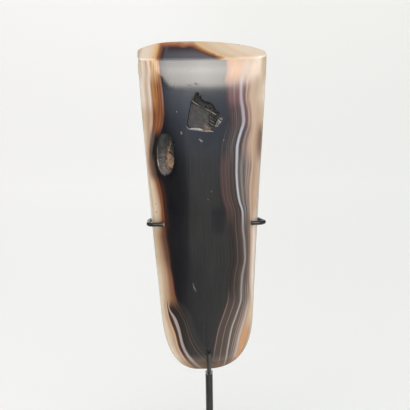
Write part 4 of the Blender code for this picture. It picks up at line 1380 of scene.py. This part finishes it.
def wire_end(radius, domed):
    """A wire's end from base to tip: how far each ring lies short of the tip, and its share of the radius."""
    rings = []
    for step in range(END_STEPS + 1):
        swing = math.radians(90) * step / END_STEPS
        back, narrow = 1 - math.sin(swing), math.cos(swing)
        if domed:
            rings.append((radius * back, narrow))
        else:
            rings.append((CUT_CHAMFER * back, 1 - CUT_CHAMFER / radius * (1 - narrow)))
    return rings


def wire_rings(points, radius, domed):
    """Centres of a wire's rings and each one's share of the radius, from tip to tip."""
    end = wire_end(radius, domed)
    rings = []
    for tip, inward, order in ((points[0], points[1], end[::-1]), (points[-1], points[-2], end)):
        inward = (inward - tip).normalized()
        rings.append([(tip + inward * back, max(narrow, LEAST_TIP_SHARE)) for back, narrow in order])
    return rings[0] + [(point, 1.0) for point in points[2:-2]] + rings[1]


def sweep_wire(name, points, radius, across, domed):
    """A round wire along a flat path: rings drawn out one from another, with domed or cleanly cut ends."""
    path = wire_rings(evened(points, RING_SPACING), radius, domed)
    total = sum((after - before).length for (before, _), (after, _) in zip(path, path[1:]))
    bm = bmesh.new()
    wear = bm.verts.layers.float.new("wear")
    ring = bmesh.ops.create_circle(bm, segments=WIRE_SIDES, radius=radius)["verts"]
    length = 0.0
    for index, (centre, narrow) in enumerate(path):
        before, after = path[max(index - 1, 0)][0], path[min(index + 1, len(path) - 1)][0]
        if index:
            length += (centre - before).length
            edges = [edge for edge in bm.edges if edge.verts[0] in ring and edge.verts[1] in ring]
            grown = bmesh.ops.extrude_edge_only(bm, edges=edges)["geom"]
            ring = order_like(ring, [part for part in grown if isinstance(part, bmesh.types.BMVert)])
        side = (after - before).normalized().cross(across)
        for step, vertex in enumerate(ring):
            swing = math.tau * step / WIRE_SIDES
            reach = radius * narrow
            vertex.co = centre + across * (reach * math.cos(swing)) + side * (reach * math.sin(swing))
            vertex[wear] = math.exp(-min(length, total - length) / TIP_WEAR_AND_HIGHLIGHT_REACH)
    bmesh.ops.holes_fill(bm, edges=[edge for edge in bm.edges if edge.is_boundary])
    bmesh.ops.recalc_face_normals(bm, faces=bm.faces)
    return mesh_from(bm, name)


def order_like(ring, grown):
    """The new ring's vertices in the order of the ring that they were drawn out from."""
    fresh = set(grown)
    return [next(edge.other_vert(vertex) for edge in vertex.link_edges if edge.other_vert(vertex) in fresh)
            for vertex in ring]


def softened_copy(node, name, edge_round):
    """A copy of a solid's mesh, its triangles merged into faces and its sharp edges eased.

    Faces that look the same way as a broad one are shaded flat, and all others smoothly.
    """
    source = bpy.data.objects[node]
    bm = bmesh.new()
    bm.from_mesh(source.data)
    bmesh.ops.transform(bm, matrix=source.matrix_world, verts=bm.verts)
    bmesh.ops.remove_doubles(bm, verts=bm.verts, dist=WELD_DISTANCE)
    bmesh.ops.dissolve_limit(bm, angle_limit=FLAT_ANGLE, verts=bm.verts, edges=bm.edges)
    bmesh.ops.recalc_face_normals(bm, faces=bm.faces)
    sharp = [edge for edge in bm.edges if edge.is_manifold and edge.calc_face_angle() > SHARP_ANGLE]
    bmesh.ops.bevel(bm, geom=sharp, offset=edge_round, offset_type="OFFSET", segments=2, profile=0.5,
                    affect="EDGES", material=-1, clamp_overlap=True)
    mesh = mesh_from(bm, name)
    broad = [face.normal.copy() for face in mesh.polygons if face.area > BROAD_FACE_AREA]
    for face in mesh.polygons:
        face.use_smooth = all(face.normal.dot(normal) < SAME_WAY for normal in broad)
    return mesh


# Colours of the dust, of the worn places, and of the painted sheen and highlights on the paint
DUST = linear(120, 116, 110)
# Bare tips of the side wire, also a painted highlight
BARE_TIP_AND_HIGHLIGHT = linear(172, 162, 150)
# Tone of the painted sheen on the cradle wire's front leg
PAINTED_SHEEN_TONE = linear(78, 76, 72)
# Bare steel beside the rod's slot, pale enough to be a painted highlight as well
BARE_STEEL_AND_HIGHLIGHT = linear(196, 200, 198)

# Grain of the paint: how often each pattern repeats in a metre
PAINT_CLOUD = 90.0
ORANGE_PEEL = 1500.0
DUST_SPECKS = 2600.0
PEEL_HEIGHT = 0.00004

# Soft steps in mm. The cradle wire's painted sheen: across the wire, then below its tip. The slot's wear and
# painted highlight: aside, then below
SHEEN_RIGHT_OF = (-0.8, -0.2)
SHEEN_BELOW_TIP = ((0.4, 4.4), (22.0, 18.0))
SLOT_FLANK = ((2.7, 2.0), (1.0, 1.4))
SLOT_BELOW_TOP = (3.8, 2.2)

# Paint: its thin and thick places as shares of its tone, and how dust, wear and painted sheen and highlights
# show in it
THIN_AND_THICK = ((0.3, 0.75), (0.7, 1.35))
DUST_STEP = (0.66, 0.74)
DUST_SHARE = 0.35
DUST_ROUGHNESS = 0.2
CLOUD_ROUGHNESS = 0.14
CLOUD_MIDDLE = 0.06
WEAR_AND_SHEEN_RAGGEDNESS = 0.5
WEAR_AND_SHEEN_STEP = (0.45, 0.8)
WEAR_AND_SHEEN_SHARE = 0.75
WEAR_AND_SHEEN_ROUGHNESS = 0.12
ROD_ROUGHER = 0.06


def tip_wear_and_highlight(paint, place):
    """The rubbed tips of the side wire, also a painted highlight, stored on its mesh."""
    return paint.attribute("wear")


def painted_leg_sheen(paint, place):
    """A painted sheen: a paler stripe down the front leg of the cradle wire, short of its tip and of its left
    side.
    """
    across = paint.axis(place, 0) / MM
    below = (BUTT_HEIGHT + CRADLE_TIP_HEIGHT) / MM - paint.axis(place, 2) / MM
    return across.step(*SHEEN_RIGHT_OF) * below.between(*SHEEN_BELOW_TIP)


def slot_wear_and_highlight(paint, place):
    """The flanks of the rod's slot near the top, where the wire has rubbed the paint away, made pale enough to
    be a painted highlight as well.
    """
    aside = paint.axis(place, 0).absolute() / MM
    below = ROD_TOP / MM - paint.axis(place, 2) / MM
    return aside.between(*SLOT_FLANK) * below.step(*SLOT_BELOW_TOP)


def paint_finish(name, tone, roughness, worn_and_sheened=None, pale_patch_tone=BARE_TIP_AND_HIGHLIGHT):
    """Satin black paint: a slight orange peel, thin places, dust, and a paler patch: rubbed paint where hands
    and stone touch, and painted sheen and highlights.
    """
    paint = Finish(name, ior=1.5)
    place = paint.place()
    cloud = paint.grain(place, PAINT_CLOUD, detail=4.0)
    peel = paint.grain(place, ORANGE_PEEL, detail=2.0)
    dust = paint.grain(place, DUST_SPECKS, detail=1.0).step(*DUST_STEP)
    colour = paint.bands(cloud, [(at, [value * share for value in tone]) for at, share in THIN_AND_THICK])
    colour = paint.mix(dust * DUST_SHARE, colour, DUST)
    surface = roughness - CLOUD_MIDDLE + cloud * CLOUD_ROUGHNESS + dust * DUST_ROUGHNESS
    if worn_and_sheened:
        # The paler patch: rubbed tips on the side wire, rubbed paint with a painted highlight by the rod's
        # slot, and a painted sheen on the cradle wire
        wear = (worn_and_sheened(paint, place) + (cloud - 0.5) * WEAR_AND_SHEEN_RAGGEDNESS).step(*WEAR_AND_SHEEN_STEP)
        colour = paint.mix(wear * WEAR_AND_SHEEN_SHARE, colour, pale_patch_tone)
        surface = surface + wear * WEAR_AND_SHEEN_ROUGHNESS
    return paint.finish(base_color=colour, roughness=surface, normal=paint.bump(peel, 0.5, PEEL_HEIGHT))


def build_cradle_wire(name, settings):
    mesh = sweep_wire(name, cradle_path(), settings.cradle_radius, Vector((1, 0, 0)), domed=False)
    return new_object(name, mesh, paint_finish("satin_black_cradle_paint", settings.cradle_paint,
                                               settings.gloss, painted_leg_sheen, PAINTED_SHEEN_TONE))


def build_side_wire(name, settings):
    mesh = sweep_wire(name, side_path(), settings.side_radius, Vector((0, 0, 1)), domed=True)
    return new_object(name, mesh, paint_finish("worn_black_side_paint", settings.side_paint, settings.gloss,
                                               tip_wear_and_highlight))


def build_rod(name, settings):
    mesh = softened_copy("upright_rod", name, settings.edge_round)
    return new_object(name, mesh, paint_finish("charcoal_rod_paint", settings.rod_paint,
                                               settings.gloss + ROD_ROUGHER, slot_wear_and_highlight, BARE_STEEL_AND_HIGHLIGHT))


def build_base(name, settings):
    mesh = softened_copy("base_plate", name, settings.edge_round)
    return new_object(name, mesh, paint_finish("matt_black_foot_paint", settings.foot_paint, MATT))


# Stage

# Panel lights: name, centre, size, the place that each faces, and its brightness
PANEL_LIGHTS = (
    ("front_ceiling", (0, -0.75, 1.35), (1.8, 0.8), (0, 0, 0.2), 1.5),
    ("back_ceiling", (0, 1.0, 1.5), (1.8, 0.7), (0, 0.5, 0), 0.9),
    ("left_fill", (-1.2, -0.5, 0.5), (0.6, 0.8), (0, 0, 0.2), 1.3),
    ("right_fill", (1.2, -0.4, 0.5), (0.6, 0.8), (0, 0, 0.2), 1.3),
    ("low_fill", (0, -0.40, 0.03), (0.7, 0.1), (0, 0, 0.07), 1.6),
)
UNSEEN_IN_POLISH = ("low_fill",)

# The paper sweep: its reach, its bend and its colours, low, high up and on the right
SWEEP_HALF_WIDTH = 1.6
SWEEP_FRONT = -1.6
SWEEP_FAR = 1.4
SWEEP_RADIUS = 0.5
SWEEP_TOP = 1.8
SWEEP_STEPS = 8
NEARLY_UPRIGHT = 0.1
PAPER = (0.62, 0.62, 0.61)
PAPER_LOW = (0.86, 0.86, 0.845)
PAPER_HIGH = (1.0, 0.99, 0.965)
PAPER_RIGHT = (0.915, 0.93, 0.905)
PAPER_GLOW = 0.52
PAPER_GRAIN = 3.0
PAPER_UNEVENNESS = 0.04
BRIGHTER_BACK = (-0.4, 2.0)
BRIGHTER_UP = (0.0, 0.4)
BACK_SHARE = 0.6
PAPER_RIGHT_OF = (-0.15, 0.15)
FADE_ASIDE = (1.5, 0.8)
FADE_IN_FRONT = (-1.5, -0.8)

# The room's dim light, and its tone where the camera sees it
ROOM_LIGHT = (0.30, 0.30, 0.32)
BACKDROP_SEEN = (0.87, 0.87, 0.855)

# The camera. The photo is this many pixels across, and the lens is measured in them too
CAMERA_DISTANCE = 0.877
CAMERA_ELEVATION = math.radians(9.2)
CAMERA_ROLL = math.radians(-0.87)
CAMERA_AIM = (-0.00111, 0.0, 0.18726)
CLIP_START = 0.05
LENS_PIXELS = 1213.0
IMAGE_PIXELS = 410
SENSOR_WIDTH = 36.0

# The window: places across, with the height of its lower edge and a share of the brightness. Then rows, as
# heights above that edge and shares, low down on the card that lights the stone and above on the other
CARD_Y = -1.25
WINDOW_Y = CARD_Y + 0.01
WINDOW_COLUMNS = ((-0.154, 0.360, 0.40), (-0.120, 0.320, 0.48), (-0.098, 0.308, 0.70), (-0.070, 0.302, 0.87),
                  (-0.03, 0.3015, 0.98), (0.0, 0.3015, 1.14), (0.025, 0.3005, 1.08), (0.07, 0.300, 0.96),
                  (0.12, 0.298, 0.86), (0.62, 0.262, 0.62))
WINDOW_ROWS = ((0.0, 0.9), (0.03, 0.97), (0.055, 1.08), (0.072, 1.0), (0.09, 0.9), (0.12, 0.84), (0.17, 0.8))
UPPER_ROWS = ((0.17, 0.8), (0.4, 0.5), (0.9, 0.35))
WINDOW_RADIANCE = 11.6
WINDOW_TINT = (1.0, 0.957, 0.9)

# Places across the dim wall, and how bright each is low down. Then rows from the window down the wall and in
# over the floor: distance behind, height, share of the brightness, extra light on the left, and blueness
GLOW_PLACES = (-1.4, -0.16, -0.09, -0.065, -0.042, -0.03, 0.0, 0.2, 0.8, 1.6)
GLOW_RIGHT = (0.10, 0.10, 0.18, 0.26, 0.38, 0.70, 0.8, 0.75, 0.7, 0.6)
FLAG_HEIGHT = 0.004
GLOW_ROWS = ((CARD_Y, 0.297, 1.75, 1.7, 0.16), (CARD_Y, 0.27, 1.45, 1.2, 0.16),
             (CARD_Y, 0.245, 1.2, 0.6, 0.16), (CARD_Y, 0.2, 1.2, 0.2, 0.14), (CARD_Y, 0.16, 0.95, 0.0, 0.08),
             (CARD_Y, 0.1, 0.75, 0.0, 0.02), (CARD_Y, FLAG_HEIGHT, 0.6, 0.0, 0.0),
             (-0.55, FLAG_HEIGHT, 0.55, 0.0, 0.0), (-0.30, FLAG_HEIGHT, 0.6, 0.0, 0.0),
             (-0.12, FLAG_HEIGHT, 0.8, 0.0, 0.0))
LEFT_GLOW_PLACES = (-0.12, -0.01)
LEFT_GLOW_SHARE = 0.6
BLUENESS = (-1, -0.35, 0.7)


def turned_to(centre, away):
    """The matrix that puts a light or camera at a centre, its back towards this direction."""
    return Matrix.Translation(centre) @ away.to_track_quat("Z", "Y").to_matrix().to_4x4()


def add_camera(settings):
    data = bpy.data.cameras.new("camera")
    data.sensor_width = SENSOR_WIDTH
    data.sensor_fit = "HORIZONTAL"
    data.lens = LENS_PIXELS / IMAGE_PIXELS * SENSOR_WIDTH
    data.clip_start = CLIP_START
    camera = new_object("camera", data)
    raised = settings.camera_elevation
    away = Vector((0, -math.cos(raised), math.sin(raised)))
    centre = Vector(CAMERA_AIM) + away * settings.camera_distance
    camera.matrix_world = turned_to(centre, away) @ Matrix.Rotation(CAMERA_ROLL, 4, "Z")
    bpy.context.scene.camera = camera


def add_panel_light(name, centre, size, target, radiance):
    data = bpy.data.lights.new(name, "AREA")
    data.shape = "RECTANGLE"
    data.size, data.size_y = size
    data.energy = radiance * size[0] * size[1] * math.pi
    light = new_object(name, data)
    light.matrix_world = turned_to(centre, Vector(centre) - Vector(target))
    light.visible_glossy = name not in UNSEEN_IN_POLISH


def card_finish(name):
    """Light alone, in the colours that are stored on the card's mesh."""
    card = Finish(name, roughness=1.0, emission_strength=1.0)
    card.shader.inputs["Base Color"].default_value = (0, 0, 0, 1)
    glow = card.node("ShaderNodeAttribute", {"attribute_name": "glow"}, output=0)
    return card.finish(emission_color=glow)


def window_lines(radiance, rows):
    """Places and colours of the window's grid."""
    return [[((x, WINDOW_Y, sill + rise), [radiance * row_share * share * tint for tint in WINDOW_TINT])
             for x, sill, share in WINDOW_COLUMNS] for rise, row_share in rows]


def wall_lines():
    """Places and colours of the dim wall under the window, and of the flag that carries it over the floor."""
    lines = []
    for away, height, share, left, blue in GLOW_ROWS:
        lines.append([])
        for x, right in zip(GLOW_PLACES, GLOW_RIGHT):
            extra = left * LEFT_GLOW_SHARE if LEFT_GLOW_PLACES[0] < x < LEFT_GLOW_PLACES[1] else 0.0
            colour = [(right * share + extra) * (1 + blue * tint) for tint in BLUENESS]
            lines[-1].append(((x, away, height), colour))
    return lines


def build_card(name, sheets, lights_stone):
    """A glowing sheet that the camera doesn't see. It lights the stone, or only shows in the polish."""
    bm = bmesh.new()
    glow = bm.verts.layers.float_color.new("glow")
    for sheet in sheets:
        grid = []
        for line in sheet:
            grid.append([bm.verts.new(place) for place, _ in line])
            for vertex, (_, tint) in zip(grid[-1], line):
                vertex[glow] = (*tint, 1)
        for upper, lower in zip(grid, grid[1:]):
            for corners in zip(upper, upper[1:], lower[1:], lower):
                bm.faces.new(corners)
    bmesh.ops.recalc_face_normals(bm, faces=bm.faces)
    card = new_object(name, mesh_from(bm, name), card_finish(name + "_glow"))
    card.visible_camera = False
    card.visible_diffuse = card.visible_shadow = lights_stone


def curve_up(bm, far):
    """Bends the sheet up from its far edge and carries it on as a wall."""
    for step in range(1, SWEEP_STEPS + 2):
        made = bmesh.ops.extrude_edge_only(bm, edges=far)["geom"]
        swing = math.radians(90) * min(step / SWEEP_STEPS, 1)
        for vertex in [part for part in made if isinstance(part, bmesh.types.BMVert)]:
            vertex.co.y = SWEEP_FAR + SWEEP_RADIUS * math.sin(swing)
            vertex.co.z = SWEEP_TOP if step > SWEEP_STEPS else SWEEP_RADIUS * (1 - math.cos(swing))
        far = [part for part in made if isinstance(part, bmesh.types.BMEdge)]


def paper_finish(settings):
    """Pale paper, brighter far back and on its left. Towards its sides and front it fades into the room."""
    paper = Finish("pale_paper", roughness=0.9, emission_strength=PAPER_GLOW)
    place = paper.place()
    across, back, up = (paper.axis(place, index) for index in range(3))
    cloud = (paper.grain(place, PAPER_GRAIN) - 0.5) * PAPER_UNEVENNESS
    rise = back.step(*BRIGHTER_BACK) * BACK_SHARE + up.step(*BRIGHTER_UP) * (1 - BACK_SHARE)
    glow = paper.mix(rise + cloud, PAPER_LOW, PAPER_HIGH)
    glow = paper.tinted(across.step(*PAPER_RIGHT_OF), glow, PAPER_RIGHT)
    edge = across.absolute().step(*FADE_ASIDE) * back.step(*FADE_IN_FRONT)
    return paper.finish(base_color=tuple(settings.paper), emission_color=glow, alpha=edge)


def build_sweep(settings):
    """A sheet of paper on the floor that curves up behind. Its faces look up and to the front."""
    bm = bmesh.new()
    bmesh.ops.create_grid(bm, x_segments=1, y_segments=1, size=1)
    for vertex in bm.verts:
        vertex.co = (vertex.co.x * SWEEP_HALF_WIDTH, SWEEP_FRONT if vertex.co.y < 0 else SWEEP_FAR, 0)
    curve_up(bm, [edge for edge in bm.edges if all(vertex.co.y > SWEEP_FRONT for vertex in edge.verts)])
    bmesh.ops.recalc_face_normals(bm, faces=bm.faces)
    for face in bm.faces:
        upright = abs(face.normal.z) < NEARLY_UPRIGHT
        if face.normal.z < -NEARLY_UPRIGHT or (upright and face.normal.y > 0):
            face.normal_flip()
    new_object("paper_sweep", mesh_from(bm, "paper_sweep"), paper_finish(settings))


def build_room():
    """Dim light from all round. Where the camera sees past the paper, the room is as pale as the paper."""
    world = bpy.data.worlds.new("studio")
    world.use_nodes = True
    tree = world.node_tree
    pale = tree.nodes.new("ShaderNodeBackground")
    pale.inputs[0].default_value = (*BACKDROP_SEEN, 1)
    room = tree.nodes["Background"]
    room.inputs[0].default_value = (*ROOM_LIGHT, 1)
    choose = tree.nodes.new("ShaderNodeMixShader")
    path = tree.nodes.new("ShaderNodeLightPath")
    tree.links.new(path.outputs["Is Camera Ray"], choose.inputs[0])
    tree.links.new(room.outputs[0], choose.inputs[1])
    tree.links.new(pale.outputs[0], choose.inputs[2])
    tree.links.new(choose.outputs[0], tree.nodes["World Output"].inputs[0])
    bpy.context.scene.world = world
    bpy.context.scene.view_settings.view_transform = "Standard"


# The add-on

class AdzeSettings(bpy.types.PropertyGroup):
    """The stone's looks."""

    dark_core: FloatVectorProperty(
        name="Dark core", description="Colour of the darkest stone between the bands", subtype="COLOR",
        size=3, min=0, max=1, default=CORE)
    grey_core: FloatVectorProperty(
        name="Grey core", description="Colour of the smoky stone right of the dark core", subtype="COLOR",
        size=3, min=0, max=1, default=CORE_GREY)
    # The pits' glint colour, partly white quartz and partly painted highlight
    crystal_glint: FloatVectorProperty(
        name="Crystal glint", description="Colour of the bright quartz edges in the pits", subtype="COLOR",
        size=3, min=0, max=1, default=GLINT)
    polish: FloatProperty(
        name="Polish", description="Least roughness of the polished faces", subtype="FACTOR", min=0, max=1,
        default=0.024)
    waver: FloatProperty(
        name="Waver", description="How far the bands stray from their lines, in mm", min=0, max=3,
        default=0.5)
    comb_strength: FloatProperty(
        name="Comb strength", description="Contrast of the finest lines", subtype="FACTOR", min=0, max=1,
        default=0.42)
    mark_strength: FloatProperty(
        name="Mark strength", description="Contrast of the small marks", subtype="FACTOR", min=0, max=1,
        default=0.5)
    crystal_depth: FloatProperty(
        name="Crystal pit depth", description="Depth of the crystal pit's floor", unit="LENGTH", min=0,
        max=0.004, default=CRYSTAL_DEPTH)
    eye_depth: FloatProperty(
        name="Eye pit depth", description="Depth of the oval pit", unit="LENGTH", min=0, max=0.005,
        default=EYE_DEPTH)
    chip_depth: FloatProperty(
        name="Chip depth", description="Share of the chips' full depth", subtype="FACTOR", min=0, max=1,
        default=1.0)


class MountSettings(bpy.types.PropertyGroup):
    """The mount's sizes and paint."""

    cradle_radius: FloatProperty(
        name="Cradle wire radius", description="Radius of the wire under the butt", unit="LENGTH", min=0.0005,
        max=WIRE_RADIUS, default=WIRE_RADIUS)
    side_radius: FloatProperty(
        name="Side wire radius", description="Radius of the wire at mid height", unit="LENGTH", min=0.0005,
        max=SIDE_RADIUS, default=SIDE_RADIUS)
    edge_round: FloatProperty(
        name="Edge round", description="How far paint softens sharp edges", unit="LENGTH", min=0.00002,
        max=0.0004, default=PAINT_EDGE_ROUND)
    gloss: FloatProperty(
        name="Paint roughness", description="Roughness of the wires' satin paint", subtype="FACTOR", min=0,
        max=1, default=0.22)
    cradle_paint: FloatVectorProperty(
        name="Cradle paint", description="Paint of the wire under the butt", subtype="COLOR", size=3, min=0,
        max=1, default=linear(12, 12, 12))
    side_paint: FloatVectorProperty(
        name="Side wire paint", description="Paint of the wire at mid height", subtype="COLOR", size=3, min=0,
        max=1, default=linear(24, 24, 24))
    rod_paint: FloatVectorProperty(
        name="Rod paint", description="Paint of the upright rod", subtype="COLOR", size=3, min=0, max=1,
        default=linear(40, 40, 40))
    foot_paint: FloatVectorProperty(
        name="Foot paint", description="Paint of the foot", subtype="COLOR", size=3, min=0, max=1,
        default=linear(40, 39, 39))


class StageSettings(bpy.types.PropertyGroup):
    """Camera, backdrop and window light."""

    camera_distance: FloatProperty(
        name="Camera distance", description="From the camera to the middle of the picture", unit="LENGTH",
        min=0.3, max=3, default=CAMERA_DISTANCE)
    camera_elevation: FloatProperty(
        name="Camera elevation", description="How far the camera looks down", unit="ROTATION", min=0,
        max=math.radians(60), default=CAMERA_ELEVATION)
    window_radiance: FloatProperty(
        name="Window brightness", description="Brightness of the window that the polish reflects", min=0,
        max=40, default=WINDOW_RADIANCE)
    paper: FloatVectorProperty(
        name="Paper", description="Colour of the backdrop paper", subtype="COLOR", size=3, min=0, max=1,
        default=PAPER)


def dress(node, name, build, settings):
    """Builds one piece in place of its solid, in the root body, with its paint or stone in its slot."""
    piece = build(name, settings)
    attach(piece, "root")
    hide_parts(node)


class ADZE_OT_blade(bpy.types.Operator):
    """Build the polished agate blade"""

    bl_idname = "adze.blade"
    bl_label = "Build blade"

    def execute(self, context):
        dress("adze", "polished_adze", build_blade, context.scene.adze_stone)
        return {"FINISHED"}


class ADZE_OT_wires(bpy.types.Operator):
    """Build the two bent wires that hold the blade"""

    bl_idname = "adze.wires"
    bl_label = "Build wires"

    def execute(self, context):
        settings = context.scene.adze_mount
        dress("cradle_wire", "bent_cradle_wire", build_cradle_wire, settings)
        dress("side_wire", "bent_side_wire", build_side_wire, settings)
        return {"FINISHED"}


class ADZE_OT_rod(bpy.types.Operator):
    """Build the slotted upright rod"""

    bl_idname = "adze.rod"
    bl_label = "Build rod"

    def execute(self, context):
        dress("upright_rod", "slotted_rod", build_rod, context.scene.adze_mount)
        return {"FINISHED"}


class ADZE_OT_foot(bpy.types.Operator):
    """Build the flat foot"""

    bl_idname = "adze.foot"
    bl_label = "Build foot"

    def execute(self, context):
        dress("base_plate", "flat_foot", build_base, context.scene.adze_mount)
        return {"FINISHED"}


class ADZE_OT_stage(bpy.types.Operator):
    """Set up the paper sweep, the lights and the camera"""

    bl_idname = "adze.stage"
    bl_label = "Build stage"

    def execute(self, context):
        settings = context.scene.adze_stage
        build_sweep(settings)
        build_room()
        low, high = (window_lines(settings.window_radiance, rows) for rows in (WINDOW_ROWS, UPPER_ROWS))
        build_card("window_card", [low], True)
        build_card("reflection_card", [high, wall_lines()], False)
        for light in PANEL_LIGHTS:
            add_panel_light(*light)
        add_camera(settings)
        return {"FINISHED"}


OPERATORS = (ADZE_OT_blade, ADZE_OT_wires, ADZE_OT_rod, ADZE_OT_foot, ADZE_OT_stage)


class ADZE_PT_sidebar(bpy.types.Panel):
    """Lists the builders and their settings"""

    bl_idname = "ADZE_PT_sidebar"
    bl_label = "Agate adze"
    bl_space_type = "VIEW_3D"
    bl_region_type = "UI"
    bl_category = "Adze"

    def draw(self, context):
        for operator in OPERATORS:
            self.layout.operator(operator.bl_idname)
        for label, settings in (("Stone", context.scene.adze_stone), ("Mount", context.scene.adze_mount),
                                ("Stage", context.scene.adze_stage)):
            box = self.layout.box()
            box.label(text=label)
            for key in settings.__annotations__:
                box.prop(settings, key)


CLASSES = (AdzeSettings, MountSettings, StageSettings, *OPERATORS, ADZE_PT_sidebar)


def register():
    for item in CLASSES:
        bpy.utils.register_class(item)
    bpy.types.Scene.adze_stone = PointerProperty(type=AdzeSettings)
    bpy.types.Scene.adze_mount = PointerProperty(type=MountSettings)
    bpy.types.Scene.adze_stage = PointerProperty(type=StageSettings)


def unregister():
    for key in ("adze_stone", "adze_mount", "adze_stage"):
        delattr(bpy.types.Scene, key)
    for item in reversed(CLASSES):
        bpy.utils.unregister_class(item)


def main():
    register()
    bpy.ops.adze.blade()
    bpy.ops.adze.wires()
    bpy.ops.adze.rod()
    bpy.ops.adze.foot()
    bpy.ops.adze.stage()
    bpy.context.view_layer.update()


if __name__ == "__main__":
    main()
